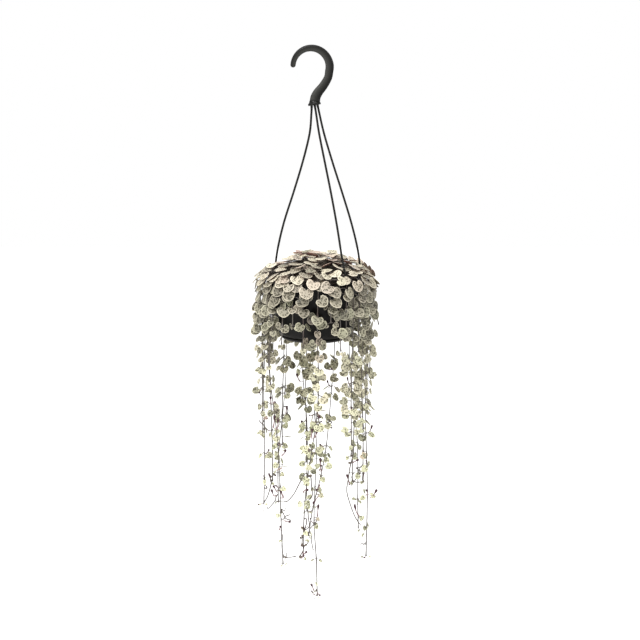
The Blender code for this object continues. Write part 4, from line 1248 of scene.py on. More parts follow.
@dataclass(frozen=True)
class HeartLeaf(Finish):
    """The leaves: cream silver with olive dots and a pale rim, greener where they hang, pink below."""

    def dress(self, shader: Shader) -> None:
        """Paints the leaf by its tint, rim, painted light and shade by depth, and map, whose X is over 1.5 below.

        Args:
            shader: The material in the making.
        """
        mix, ramp, math, times = shader.mix, shader.ramp, shader.math, shader.times
        uv = shader.node("SeparateXYZ")
        shader.plug(uv, {"Vector": shader.node("UVMap", uv_map="UVMap").outputs["UV"]})
        below = math("GREATER_THAN", uv.outputs["X"], 1.5)
        across = math("ABSOLUTE", math("SUBTRACT", uv.outputs["X"], times(below, 3.0)))
        tint = shader.node("Attribute", attribute_name="tint").outputs
        shade, green, pink = shader.node("SeparateColor", {"Color": tint["Color"]}).outputs
        rim = shader.value("rim")
        marbling = shader.node("Group", node_tree=speckle_group())
        crown = tint["Alpha"]
        dappled = math("MULTIPLY_ADD", crown, -0.20, ramp(green, 0.4, 1.0, 0.62, 0.42))
        amount = math("ADD", dappled, times(shade, 0.34))
        shader.plug(marbling, {"Vector": shader.place, "Size": 430.0, "Amount": amount})
        cream = mix(green, (0.86, 0.775, 0.61), (0.80, 0.80, 0.55))
        cream = mix(pink, cream, (0.74, 0.53, 0.46))
        olive = mix(green, (0.150, 0.122, 0.080), (0.125, 0.135, 0.045))
        inside = ramp(rim, 0.80, 0.97, 1.0, 0.0)
        dots = times(times(marbling.outputs["Dots"], inside), 0.95)
        flush = math("MULTIPLY_ADD", times(inside, dappled), 0.5, 0.02)
        color = mix(dots, mix(flush, cream, olive), (0.088, 0.078, 0.045))
        midrib = ramp(across, 0.0, 0.045, 1.0, 0.0)
        color = mix(times(midrib, 0.3), color, (0.56, 0.54, 0.40))
        tone = shader.node("HueSaturation")
        darkness = math("POWER", shade, math("MULTIPLY_ADD", crown, -1.0, 3.0))
        # Painted light and shade: a brightness by depth, lighter on the crown's top and on the lower hanging leaves,
        # darker beside the pot; the rim is pulled half way back toward full brightness.
        pale = shader.value("painted_light_by_depth")
        edge = times(math("SUBTRACT", 1.0, inside), math("SUBTRACT", 1.02, pale))
        pale = math("MULTIPLY_ADD", edge, 0.5, pale)
        value = times(math("MULTIPLY_ADD", darkness, -0.54, 1.02), pale)
        above = shader.plug(tone, {"Color": color, "Value": value}).outputs["Color"]
        purple = mix(marbling.outputs["Cloud"], (0.20, 0.055, 0.055), (0.40, 0.22, 0.19))
        under = mix(0.3, above, (0.25, 0.25, 0.17))
        under = mix(times(crown, 0.85), under, purple)
        shader.surface({"Base Color": mix(below, above, under), "Specular IOR Level": 0.35,
                        "Roughness": ramp(marbling.outputs["Dots"], 0.0, 1.0, 0.5, 0.38)})
        shader.bump(marbling.outputs["Height"], 0.22, 0.0004)


@dataclass(frozen=True)
class WirySkin(Finish):
    """Skin of the stems and stalks, or of the tubers: grey mauve, browner in patches, finely ridged."""

    patch: Triple
    patch_scale: float = 55.0

    def dress(self, shader: Shader) -> None:
        """Lays patches and a pale fine grain over the colour.

        Args:
            shader: The material in the making.
        """
        patches = shader.ramp(shader.noise(self.patch_scale, 3.0), 0.42, 0.66)
        fine = shader.noise(1500.0, 2.0)
        color = shader.mix(patches, self.color, self.patch)
        color = shader.mix(shader.times(fine, 0.12), color, (0.36, 0.32, 0.30))
        shader.surface({"Base Color": color, "Roughness": shader.ramp(fine, 0.3, 0.7, self.roughness, 0.7)})
        shader.bump(fine, 0.3, 0.0003)


@dataclass(frozen=True)
class FlowerSkin(Finish):
    """The buds: a pale mauve tube that turns dark maroon toward its closed end."""

    def dress(self, shader: Shader) -> None:
        """Darkens the tube by the value "along", with a mottled edge.

        Args:
            shader: The material in the making.
        """
        along = shader.value("along")
        mottle = shader.noise(900.0, 3.0)
        edge = shader.math("ADD", along, shader.times(mottle, 0.16))
        color = shader.mix(shader.ramp(edge, 0.60, 0.80), self.color, (0.045, 0.012, 0.018))
        color = shader.mix(shader.times(mottle, 0.3), color, (0.22, 0.10, 0.12))
        shader.surface({"Base Color": color, "Roughness": shader.ramp(mottle, 0.3, 0.7, 0.42, 0.6)})
        shader.bump(mottle, 0.2, 0.0003)


@dataclass(frozen=True)
class PottingSoil(Finish):
    """Dark crumbly soil with fibres and paler grit."""

    def dress(self, shader: Shader) -> None:
        """Lays browner crumbs and pale grit over the colour.

        Args:
            shader: The material in the making.
        """
        crumbs = shader.noise(420.0, 6.0, 0.7)
        grit = shader.node("TexVoronoi", {"Vector": shader.place, "Scale": 300.0, "Randomness": 1.0}, feature="F1")
        color = shader.mix(shader.ramp(crumbs, 0.35, 0.7), self.color, (0.085, 0.052, 0.032))
        color = shader.mix(shader.ramp(grit.outputs["Distance"], 0.10, 0.16, 0.5, 0.0), color, (0.30, 0.25, 0.19))
        shader.surface({"Base Color": color, "Roughness": shader.ramp(crumbs, 0.2, 0.8, 0.8, 1.0)})
        shader.bump(crumbs, 0.8, 0.0015)


@dataclass(frozen=True)
class StudioFloor(Finish):
    """The pale floor, with the faintest clouds in it and a glow that only the camera sees."""

    def dress(self, shader: Shader) -> None:
        """Lays the clouds over the colour, and adds the glow.

        Args:
            shader: The material in the making.
        """
        color = shader.mix(shader.noise(1.5, 2.0), self.color, (0.86, 0.86, 0.855))
        glow = shader.node("LightPath").outputs["Is Camera Ray"]
        shader.surface({"Base Color": color, "Specular IOR Level": 0.2, "Emission Color": (1.0, 1.0, 0.995),
                        "Emission Strength": shader.times(glow, 0.6)})


class Finishes:
    """Every finish of the part."""

    # The hanger's last colour is the paler paint of the painted highlight on its inner edge.
    HANGER = MouldedPlastic("hanger_plastic", (0.0050, 0.0050, 0.0042), 0.38, 0.04, 0.19, (0.041, 0.041, 0.037))
    POT = MouldedPlastic("pot_plastic", (0.0033, 0.0029, 0.0024), 0.36, 0.07, 0.16)
    LEAF = HeartLeaf("heart_leaf", (0.50, 0.47, 0.38), 0.45)
    THREAD = WirySkin("stem_thread", (0.130, 0.115, 0.100), 0.5, (0.066, 0.044, 0.036))
    BUD = FlowerSkin("flower_bud", (0.34, 0.24, 0.235), 0.45)
    TUBER = WirySkin("bead_tuber", (0.17, 0.13, 0.10), 0.55, (0.07, 0.045, 0.035), 300.0)
    # dark: the old stems' own colour, and on the dome painted shade between the crown's leaves
    OLD_STEM_AND_SHADE = WirySkin("old_stem_and_painted_shade", (0.048, 0.036, 0.026), 0.7, (0.085, 0.070, 0.046), 260.0)
    SOIL = PottingSoil("crumbly_soil", (0.022, 0.014, 0.010), 0.95)
    PERLITE = WirySkin("perlite", (0.62, 0.60, 0.55), 0.7, (0.5, 0.47, 0.41), 400.0)


@dataclass
class Hook:
    """The crook, its neck and the tilted collar that holds the strands."""

    crook_radius: float = 19.3
    tip_angle: float = 174.0
    foot_angle: float = -13.0
    tip_width: float = 6.9
    crook_width: float = 10.9
    depth: float = 7.4
    neck: Rows = ((22.6, -33.3, 10.7, 7.8), (16.2, -44.0, 11.4, 8.6), (10.4, -51.0, 12.2, 9.6),
                  (6.6, -57.6, 13.2, 10.8), (5.6, -63.0, 13.6, 12.4))
    collar: Pair = (5.2, -68.2)
    collar_tilt: float = radians(8.3)
    collar_radius: float = 8.4
    collar_thickness: float = 2.8
    sides: int = 36
    squareness: float = 0.72

    def down(self) -> Array:
        """Gives the way the tilted collar faces."""
        return np.array([sin(self.collar_tilt), 0.0, -cos(self.collar_tilt)])

    def mouth(self, offset: Pair) -> Array:
        """Gives where a strand leaves the collar's underside, from its offset across and toward the back."""
        across = offset[0] * np.array([cos(self.collar_tilt), 0.0, sin(self.collar_tilt)])
        return across + [self.collar[0], offset[1], self.collar[1]]

    def foot(self) -> Array:
        """Lists the collar's rings, from the neck down to the hollow below.

        Returns:
            Rows of (lift over its underside, radius).
        """
        r, t = self.collar_radius, self.collar_thickness
        return np.array([(t + 3.0, r - 2.3), (t + 1.6, r - 1.9), (t + 0.6, r - 1.2), (t + 0.1, r - 0.7),
                         (t - 0.2, r - 0.25), (t - 0.7, r), (0.7, r), (0.2, r - 0.2), (0.0, r - 0.7),
                         (0.0, r - 2.0), (0.5, r - 2.4), (0.5, 0.5)])

    def moulding(self) -> Surface:
        """Sweeps a squarish ring along the crook and the neck, and rounder rings through the tilted collar.

        The line is an arc about the crook's centre and then a smooth curve through the neck. A ring's point is
        half the width times a signed power of the cosine across the line, and the same with the sine along Y.

        Returns:
            The swept surface, with rounded ends.
        """
        share = np.linspace(0.0, 1.0, 23)
        turn = np.radians(self.tip_angle + (self.foot_angle - self.tip_angle) * share)
        width = self.tip_width + (self.crook_width - self.tip_width) * np.minimum(1.0, share * 1.1) ** 1.3
        radius = self.crook_radius + width / 2
        arc = np.stack([radius * np.cos(turn), radius * np.sin(turn) - self.crook_radius, width,
                        self.depth - 0.8 * (1 - share)], axis=1)
        table = smooth_line(np.vstack([arc, self.neck]), 3)
        ways = unit(np.gradient(table[:, :2], axis=0))
        cap = np.array([[3.4, 0.12], [3.1, 0.45], [2.4, 0.72], [1.3, 0.92]])
        tip = np.column_stack([table[0, :2] - ways[0] * cap[:, :1], cap[:, 1:] * table[0, 2:]])
        down = self.down()[[0, 2]]
        rings = self.foot()
        foot = np.column_stack([self.collar - down * rings[:, :1], 2 * rings[:, 1:], 2 * rings[:, 1:]])
        table = np.vstack([tip, table, foot])
        ways = np.vstack([np.repeat(ways[:1], len(cap), axis=0), ways, np.repeat(down[None], len(foot), axis=0)])
        power = np.full((len(table), 1), self.squareness)
        power[-len(foot):] = 1.0
        line = np.stack([table[:, 0], 0 * table[:, 0], table[:, 1]], axis=1)
        lead = np.stack([ways[:, 1], 0 * ways[:, 0], -ways[:, 0]], axis=1)
        angle = 2 * pi * (np.arange(self.sides) + 0.5) / self.sides
        wide, deep = (np.sign(wave) * np.abs(wave) ** power for wave in (np.cos(angle), np.sin(angle)))
        points = line[:, None] + lead[:, None] * (table[:, 2, None] / 2 * wide)[..., None]
        points[:, :, 1] += table[:, 3, None] / 2 * deep
        index = np.arange(points.shape[0] * self.sides).reshape(-1, self.sides)
        # Painted highlight: the share of paler paint, most on the inner edge of the crook and neck, none at the
        # collar.
        inner = np.clip(0.5 + 0.9 * (wide - 0.05), 0.0, 1.0) * (points[..., 2] > -62.0)
        faces = [ring_quads(index), index[:1, ::-1], index[-1:]]
        return Surface(points.reshape(-1, 3), faces, {"painted_inner_highlight": inner.ravel()})

    def build(self) -> None:
        """Makes the hook's piece."""
        self.moulding().piece("hook_moulding", Finishes.HANGER, "charcoal_plastic", "hook", sharp=50)


@dataclass
class Strands:
    """The three moulded strands that hold the pot, each with a flared root and a button under the flange."""

    hook: Hook
    radius: float = 1.1
    seat_radius: float = 61.7
    places: tuple[tuple[str, Pair, float], ...] = (
        ("strand_left", (-3.9, 1.6), -117.0), ("strand_front", (0.2, -2.6), 39.0), ("strand_right", (3.9, 1.6), 102.0))
    fall: Pairs = ((0.05, 0.018), (0.16, 0.10), (0.32, 0.29), (0.50, 0.53), (0.68, 0.745), (0.84, 0.895))
    foot: tuple[float, ...] = (10.0, 3.0, -5.2)
    thicker: float = 0.32
    bow: Rows = ((-0.010, -0.045, -0.055, -0.045, 0.005, 0.030), (0.030, 0.045, 0.040, 0.010, -0.015, -0.020),
                 (0.025, 0.045, 0.045, 0.035, 0.040, 0.045))

    def line(self, offset: Pair, bearing: float) -> Array:
        """Gives a strand's bends, from its socket in the collar to its button.

        Args:
            offset: Its place on the collar.
            bearing: Its place round the rim.

        Returns:
            Rows of points.
        """
        mouth = self.hook.mouth(offset)
        seat = outward(bearing) * self.seat_radius + POT_RIM
        level = seat - mouth
        points = [mouth - self.hook.down() * 6.4, mouth]
        points += [mouth + level * [reach, reach, share] for share, reach in self.fall]
        return np.array(points + [seat + [0.0, 0.0, lift] for lift in self.foot])

    def lines_in_pot(self) -> list[Array]:
        """Gives every strand's bends in the pot's frame."""
        return [self.line(offset, bearing) - POT_RIM for _, offset, bearing in self.places]

    def build(self) -> None:
        """Makes each strand: a smooth tube that swells at its root, with a small seat over the flange and a button."""
        for (name, offset, bearing), bow in zip(self.places, self.bow):
            bends = self.line(offset, bearing)
            bends[2:8, :2] += (bends[-1] - bends[1])[:2] * np.array(bow)[:, None]
            line = smooth_line(bends, 5)
            radii = self.radius + self.thicker + 0.3 * np.exp(-(((length_along(line) - 6.4) / 3.6) ** 2))
            strand = tubes(line[None], radii, outward(bearing + 90.0), 12)
            strand.values = {}
            seat = np.array([line[-1][0], line[-1][1], POT_RIM[2]])
            button = rounded([(0, -6.4, 0), (1.7, -6.2, 0.5), (2.1, -5.0, 0.5), (2.1, -3.3, 0.4), (0, -2.9, 0)])
            ring = rounded([(0, 0.15, 0), (2.5, 0.15, 0.2), (2.4, 1.0, 0.5), (1.2, 1.7, 0.4), (0, 2.2, 0)])
            whole = Surface.merged([strand, lathe(button, 20, seat), lathe(ring, 20, seat)])
            whole.piece(f"{name}_moulding", Finishes.HANGER, "charcoal_plastic", name, sharp=50)


@dataclass
class Pot:
    """The turned pot and the saucer that clips under it."""

    flange_radius: float = 65.5
    flange_thickness: float = 2.6
    skirt: float = 5.5
    mouth_radius: float = 57.8
    shoulder_radius: float = 59.2
    waist: Pair = (56.4, -36.0)
    corner_top: Pair = (51.5, -66.0)
    base_radius: float = 37.0
    height: float = 79.1
    wall: float = 1.5
    saucer_radius: float = 47.9
    saucer_floor: float = 42.5
    saucer_height: float = 4.6
    saucer_wall: float = 1.3
    segments: int = 128

    def corner(self, inset: float, steps: int) -> list[Triple]:
        """Gives the rounded lower corner as a quarter of an ellipse, outside or inset.

        Args:
            inset: How far inside the outer skin.
            steps: Points on the quarter.

        Returns:
            Rows of (radius, height, 0), from the floor up.
        """
        turn = np.radians(np.linspace(0.0, 90.0, steps))
        wide = self.base_radius + (self.corner_top[0] - inset - self.base_radius) * np.sin(turn)
        tall = self.corner_top[1] - (self.corner_top[1] + self.height - inset) * np.cos(turn)
        return [(float(r), float(z), 0.0) for r, z in zip(wide, tall)]

    def body(self) -> Surface:
        """Turns the pot: floor, rounded corner, wall with a slight waist, shoulder, and flange with its skirt.

        Returns:
            The pot.
        """
        skirt = self.flange_radius - 1.2
        outer = [(0, -self.height, 0), *self.corner(0.0, 11), (*self.waist, 8.0),
                 (self.shoulder_radius, -self.flange_thickness, 0.7), (skirt - 0.2, -self.flange_thickness, 0.6),
                 (skirt, -self.skirt, 0.3), (self.flange_radius, -self.skirt, 0.4), (self.flange_radius, 0, 1.1),
                 (self.mouth_radius, 0, 0.7)]
        inner = [(self.waist[0] - self.wall, self.waist[1], 6.0), *self.corner(self.wall, 9)[::-1],
                 (0, self.wall - self.height, 0)]
        return lathe(rounded(outer + inner), self.segments, POT_RIM)

    def saucer(self) -> Surface:
        """Turns the saucer: a flat floor, a low flared wall and a rolled lip.

        Returns:
            The saucer.
        """
        floor = -self.height - 0.3 - self.saucer_wall
        top = floor + self.saucer_height
        r, f, w = self.saucer_radius, self.saucer_floor, self.saucer_wall
        profile = [(0, floor + 0.4, 0), (f - 6.0, floor + 0.4, 0.4), (f - 5.2, floor, 0.4), (f, floor, 1.4),
                   (f + 3.6, floor + 1.6, 1.0), (r - 0.4, top - 1.4, 0.5), (r, top, 0.45), (r - w, top, 0.4),
                   (f + 2.0, floor + w + 1.0, 0.8), (f - 0.6, floor + w, 0.6), (0, floor + w, 0)]
        return lathe(rounded(profile), self.segments, POT_RIM)

    def build(self) -> None:
        """Makes the pot's and the saucer's pieces."""
        self.body().piece("pot_moulding", Finishes.POT, "black_plastic", "pot", sharp=50)
        self.saucer().piece("saucer_moulding", Finishes.POT, "black_plastic", "drip_saucer", sharp=50)


@dataclass
class Soil:
    """The soil that fills the pot: a lumpy top with crumbs and grit on it."""

    depth: float = 12.0
    top_radius: float = 55.4
    rings: int = 34
    segments: int = 120
    crumbs: int = 260
    grit: int = 26

    def lumps(self, x: Array, y: Array) -> Array:
        """Gives the top's height over its level: three crossed waves, each finer and lower than the last.

        Args:
            x: Where, along X.
            y: Where, along Y.

        Returns:
            The heights.
        """
        broad = np.sin(x / 7.3 + 1.3) * np.cos(y / 8.1) * 0.8
        middle = np.sin(x / 2.9 - y / 3.7) * np.cos(y / 2.6 + x / 6.1) * 0.5
        fine = np.sin(x / 1.3 + y / 1.9) * np.sin(y / 1.2 - x / 2.3) * 0.28
        return broad + middle + fine

    def body(self) -> Surface:
        """Turns the soil's outside and gives its top the lumps, fading to none at the edge.

        Returns:
            The soil.
        """
        rim = np.linspace(self.top_radius, 0.0, self.rings)
        side = [(0.0, -77.3), (35.5, -77.3), (47.9, -69.0), (54.1, -36.0)]
        profile = np.vstack([side, np.stack([rim, np.full(self.rings, -self.depth)], axis=1)])
        soil = lathe(profile, self.segments, np.zeros(3))
        x, y, z = soil.vertices.T
        fade = np.clip((self.top_radius - np.hypot(x, y)) / 4.0, 0.0, 1.0)
        soil.vertices[:, 2] += np.where(z > -self.depth - 0.01, fade * self.lumps(x, y), 0.0)
        soil.vertices += POT_RIM
        return soil

    def scattered(self, count: int, sizes: Pair, seed: int) -> Surface:
        """Strews lumps evenly over the top by chance.

        Args:
            count: How many.
            sizes: The least and the greatest radius.
            seed: Seed of the chance.

        Returns:
            The lumps.
        """
        draw = chance(seed)
        angle = draw.uniform(0, 2 * pi, count)
        reach = np.sqrt(draw.uniform(0, 1, count)) * (self.top_radius - 2.5)
        radii = draw.uniform(*sizes, count)
        x, y = reach * np.cos(angle), reach * np.sin(angle)
        centres = np.stack([x, y, self.lumps(x, y) - self.depth + 0.3 * radii], axis=1)
        return pebbles(centres + POT_RIM, radii, seed + 1)

    def build(self) -> None:
        """Makes the soil's pieces."""
        bed = Surface.merged([self.body(), self.scattered(self.crumbs, (0.7, 2.0), 41)])
        bed.piece("soil_bed", Finishes.SOIL, "potting_soil", "soil")
        self.scattered(self.grit, (0.7, 1.5), 43).piece("perlite_grit", Finishes.PERLITE, "potting_soil", sharp=20)


@dataclass
class ShadeDomeAndOldStems:
    """The mat under the crown, old stems and painted shade: a lumpy dark dome on the soil, bare stems arched over it.
    """

    section: Pairs = ((0, -11), (51, -11), (55, -4), (56.6, 1.5), (55.5, 5.5), (50, 9.2), (40, 14), (30, 17.6),
                      (20, 20.6), (10, 22.6), (0, 23.5))
    segments: int = 96
    arches: int = 170

    def dome(self) -> Surface:
        """Turns the section and gives it lumps: crossed waves of the bearing and the height.

        Returns:
            The dome.
        """
        # The dome is partly the mat of old stems and partly painted shade in the gaps between the crown's leaves.
        profile = rounded([(r, z, 3.0) for r, z in self.section], 4)
        dome = lathe(profile, self.segments, np.zeros(3))
        x, y, z = dome.vertices.T
        lumps = 0.9 * np.sin(x / 2.7 + z / 4.1) * np.cos(y / 3.1) + 0.5 * np.sin(x / 1.4 - y / 1.7)
        dome.vertices = dome.vertices + UP * np.where(z > 4.0, lumps, 0.0)[:, None] + POT_RIM
        return dome

    def old_stems(self) -> Surface:
        """Arches thin tubes over the dome: the bearing and the radius run evenly, the height follows the dome.

        Returns:
            The tubes.
        """
        draw = chance(91)
        t = np.linspace(0.0, 1.0, 10)[None, :]
        start, reach = draw.uniform(0, 2 * pi, (2, self.arches, 1))
        inner, outer = draw.uniform(2.0, 46.0, (2, self.arches, 1))
        angle = start + (reach - pi) * 0.45 * t
        radius = inner + (outer - inner) * t
        upper = np.array(self.section[3:])[::-1]
        rise = draw.uniform(0.0, 4.5, (self.arches, 1)) * np.sin(pi * t)
        height = np.interp(radius, upper[:, 0], upper[:, 1]) + 0.8 + rise
        lines = np.stack([radius * np.cos(angle), radius * np.sin(angle), height], axis=2)
        return tubes(lines + POT_RIM, draw.uniform(0.4, 0.8, (self.arches, 1)), np.array([0.01, 0.02, 1.0]), 5)

    def build(self) -> None:
        """Makes the mat's two pieces."""
        self.dome().piece("painted_shade_dome", Finishes.OLD_STEM_AND_SHADE, "silver_leaf")
        self.old_stems().piece("old_stems", Finishes.OLD_STEM_AND_SHADE, "silver_leaf")


@dataclass
class Foliage:
    """Threads, stalks, cupped heart blades, flower buds and bead tubers, drawn over the plan."""

    plan: PlantPlan
    tangle: Tangle
    round_half: Pairs = ((0, 0), (0.085, -0.115), (0.25, -0.195), (0.415, -0.125), (0.5, 0.085), (0.462, 0.32),
                         (0.305, 0.53), (0.125, 0.632), (0, 0.665))
    pointed_half: Pairs = ((0, 0), (0.09, -0.10), (0.25, -0.165), (0.40, -0.10), (0.46, 0.09), (0.395, 0.34),
                           (0.24, 0.58), (0.09, 0.78), (0, 0.91))
    # Painted light and shade: brightness by depth below the rim, lighter on the crown's top and below the pot, darker
    # beside the pot.
    painted_light_by_depth: Pairs = ((-24, 1.08), (-14, 1.06), (-6, 0.90), (2, 0.72), (16, 0.60), (40, 0.56), (75, 0.66),
                       (95, 1.02), (130, 1.16), (200, 1.18), (300, 1.18))
    thread_radius: float = 0.68
    stalk_radius: float = 0.46
    blade: float = 1.15

    @staticmethod
    def scaled(leaf: Leaf, bearing: float) -> Leaf:
        """Widens the front's hanging leaves a little and narrows the left's, as the plant has them.

        Args:
            leaf: The leaf as planned.
            bearing: Its stem's bearing.

        Returns:
            The leaf with its new width.
        """
        depth = -leaf.notch[2]
        front = abs(bearing) > 145.0 and 85.0 < depth < 240.0
        left = -128.0 < bearing < -48.0 and depth > 85.0
        return replace(leaf, width=leaf.width * (1.10 if front else 0.86 if left else 1.0))

    @staticmethod
    def columns(leaves: list[Leaf], *keys: str) -> list[Array]:
        """Gathers some fields of all leaves, each as an array."""
        return [np.array([getattr(leaf, key) for leaf in leaves]) for key in keys]

    def outline(self, share: Array) -> Array:
        """Blends the round and the pointed half outline by the second's share, and mirrors it about the midrib."""
        half = np.array(self.round_half) * (1 - share) + np.array(self.pointed_half) * share
        return np.concatenate([half, half[:, -2:0:-1] * [-1.0, 1.0]], axis=1)

    def blades(self, leaves: list[Leaf], depths: Array, seed: int) -> Surface:
        """Draws cupped blades: a middle point, an inner ring and the edge, above and below.

        A point's place is notch + across x + axis y + normal h, all times the width. The height h is a bowl, the
        square of the distance from the middle times a cup, plus a fold that rises with x from the midrib and a
        curl along y. Above and below lie half the thickness apart from h, and meet at the edge.

        Args:
            leaves: The leaves.
            depths: Each one's depth below the rim.
            seed: Seed of the chance.

        Returns:
            The blades, with their map, the values "tint" and "rim", and their painted light and shade by depth.
        """
        draw = chance(seed)
        count = len(leaves)
        width, notch, axis, normal = self.columns(leaves, "width", "notch", "axis", "normal")
        pointed = np.clip((12.0 - width) / 6.0, 0.0, 1.0) * draw.uniform(0.5, 1.0, count)
        edge = self.outline(pointed[:, None, None]) * (1 + draw.normal(0, 0.03, (count, 1, 2)))
        edge = edge + draw.normal(0, 0.009, edge.shape)
        middle = np.array([0.0, 0.2])
        inner = middle + (edge - middle) * 0.8
        flat = np.concatenate([np.broadcast_to(middle, (count, 1, 2)), inner, edge], axis=1)
        cup = draw.uniform(-0.035, 0.085, (count, 1))
        fold = draw.uniform(0.0, 0.07, (count, 1))
        curl = draw.normal(0.0, 0.035, (count, 1))
        x, y = flat[..., 0] / 0.5, (flat[..., 1] - 0.2) / 0.5
        height = cup * (x**2 + y**2) / 2 + fold * np.abs(x) ** 1.5 + curl * y * np.abs(y)
        thick = np.minimum(self.blade, 0.075 * width)[:, None] / width[:, None] / 2
        lifts = np.concatenate([(height + thick)[:, :17], height[:, 17:], (height - thick)[:, :17]], axis=1)
        spots = np.concatenate([flat, flat[:, :17]], axis=1)
        across = np.cross(axis, normal)[:, None]
        local = across * spots[..., :1] + axis[:, None] * spots[..., 1:] + normal[:, None] * lifts[..., None]
        points = notch[:, None] + local * width[:, None, None] + POT_RIM
        here = np.arange(16)
        after = np.roll(here, -1)
        blocks = [((0 * here, 1 + here, 1 + after), 0.0), ((1 + here, 17 + here, 17 + after, 1 + after), 0.0),
                  ((33 + 0 * here, 34 + after, 34 + here), 3.0),
                  ((34 + here, 34 + after, 17 + after, 17 + here), 3.0)]
        faces, uv = [], []
        for rows, shift in blocks:
            block = np.stack(rows, axis=1)
            faces.append((block + 50 * np.arange(count)[:, None, None]).reshape(-1, len(rows)))
            uv.append((spots[:, block] + [shift, 0.0]).reshape(-1, len(rows), 2))
        crown = np.clip((12.0 - depths) / 30.0, 0.0, 1.0)
        green = np.interp(depths, [0.0, 40.0, 150.0, 260.0], [0.05, 0.35, 0.55, 1.05])
        green = np.clip(green + draw.normal(0, 0.13, count), 0.0, 1.0)
        pink = np.clip(crown * draw.uniform(-0.9, 0.6, count), 0.0, 1.0)
        tint = np.stack([draw.uniform(0, 1, count), green, pink, crown], axis=1)
        for row, leaf in zip(tint, leaves):
            row[:3] = row[:3] if leaf.tone is None else leaf.tone
        rim = np.concatenate([[0.0], np.full(16, 0.8), np.ones(16), [0.0], np.full(16, 0.8)])
        # painted light and shade by depth, as a brightness
        painted_depth_light = np.interp(depths, *np.array(self.painted_light_by_depth).T)
        values = {"tint": np.repeat(tint, 50, axis=0), "rim": np.tile(rim, count), "painted_light_by_depth": np.repeat(painted_depth_light, 50)}
        return Surface(points.reshape(-1, 3), faces, values, uv)

    def stalks(self, leaves: list[Leaf]) -> Surface:
        """Bends a stalk to each blade: a parabola from the root that meets the notch along the leaf's axis.

        Args:
            leaves: The leaves.

        Returns:
            The stalks.
        """
        width, root, notch, axis, normal = self.columns(leaves, "width", "root", "notch", "axis", "normal")
        end = notch + axis * (0.05 * width)[:, None]
        knee = end - axis * norm(end - root, axis=1, keepdims=True) * 0.55
        t = np.linspace(0.0, 1.0, 6)[None, :, None]
        lines = (1 - t) ** 2 * root[:, None] + 2 * t * (1 - t) * knee[:, None] + t**2 * end[:, None]
        radii = np.minimum(self.stalk_radius, 0.045 * width)[:, None] * np.linspace(1.0, 0.8, 6)
        return tubes(lines + POT_RIM, radii, np.cross(axis, normal), 5)

    def thread(self, i: int) -> Surface:
        """Draws a stem as a smooth thin tube through its bends, slightly swollen at each and at both ends.

        Args:
            i: The stem's index.

        Returns:
            The tube.
        """
        line = smooth_line(self.plan.routes[i][0], 6)
        at = np.arange(len(line))
        taper = np.interp(at / len(line), [0.0, 0.3, 0.7, 1.0], [1.3, 0.95, 0.95, 1.2])
        radii = self.thread_radius * taper * np.where(at % 6 == 0, 1.35, 1.0)
        return tubes((line + POT_RIM)[None], radii, outward(self.plan.stems[i].bearing + 90.0), 6)

    def lower_bends(self, least: float) -> tuple[Array, Array]:
        """Lists the bends below a depth.

        Args:
            least: The depth below the rim.

        Returns:
            The bends, and the outward way at each.
        """
        spots, ways = [], []
        for stem, (points, first) in zip(self.plan.stems, self.plan.routes):
            low = points[first:][-points[first:, 2] > least]
            spots.append(low)
            ways.append(np.repeat(outward(stem.bearing)[None], len(low), axis=0))
        return np.concatenate(spots), np.concatenate(ways)

    @staticmethod
    def some(spots: Array, ways: Array, share: float, most: float, draw: np.random.Generator) -> tuple[Array, Array]:
        """Picks a share of the places by chance, each with its way swung level by up to an angle.

        Args:
            spots: The places.
            ways: The outward way at each.
            share: The share.
            most: The greatest swing in radians.
            draw: The chance.

        Returns:
            The places and the swung ways.
        """
        picked = draw.random(len(spots)) < share
        spots, ways = spots[picked], ways[picked]
        swing = draw.uniform(-most, most, len(spots))[:, None]
        return spots, unit(ways * np.cos(swing) + np.cross(ways, UP) * np.sin(swing))

    def buds(self) -> Surface:
        """Draws flower buds: a tube that curves up from its stalk, swollen at its foot and at its dark end.

        Returns:
            The buds.
        """
        draw = chance(61)
        spots, level = self.some(*self.lower_bends(150.0), 0.42, 2.2, draw)
        length = draw.uniform(9.0, 16.0, len(spots))[:, None, None]
        rise = draw.uniform(-0.35, 0.9, len(spots))[:, None, None]
        t = np.linspace(0.0, 1.0, 12)[None, :, None]
        lift = UP * length * (rise * t**2 - 0.25 * t * (1 - t))
        lines = spots[:, None] + level[:, None] * length * (t - 0.28 * t**2) + lift
        shape = np.interp(t.ravel(), [0, 0.25, 0.32, 0.42, 0.54, 0.74, 0.84, 0.94, 1.0],
                          [0.34, 0.36, 0.75, 1.05, 0.70, 0.66, 1.25, 1.45, 0.6])
        radii = shape * draw.uniform(0.85, 1.15, (len(spots), 1))
        return tubes(lines + POT_RIM, radii, np.cross(level, UP), 8)

    def tendrils(self) -> Surface:
        """Draws young side shoots: short thin curves from the lower bends, each with a small knob at its end.

        Returns:
            The shoots.
        """
        draw = chance(67)
        spots, ways = (np.repeat(rows, 2, axis=0) for rows in self.lower_bends(120.0))
        spots, level = self.some(spots, ways, 0.45, 2.8, draw)
        length = draw.uniform(5.0, 14.0, len(spots))[:, None, None]
        hang = draw.uniform(-0.9, 0.5, len(spots))[:, None, None]
        t = np.linspace(0.0, 1.0, 8)[None, :, None]
        lines = spots[:, None] + level[:, None] * length * t * (1 - 0.4 * t) + UP * length * hang * t
        shape = np.array([0.46, 0.42, 0.40, 0.38, 0.37, 0.37, 0.62, 0.35])
        return tubes(lines + POT_RIM, shape, np.cross(level, UP), 5)

    def beads(self) -> Surface:
        """Sets bead tubers on some of the lower bends, and adds the listed ones.

        Returns:
            The beads.
        """
        spots, _ = self.lower_bends(170.0)
        draw = chance(71)
        spots = spots[draw.random(len(spots)) < 0.4]
        by_chance = pebbles(spots + POT_RIM, draw.uniform(1.1, 2.0, len(spots)), 72)
        return Surface.merged([by_chance, self.tangle.tubers()])

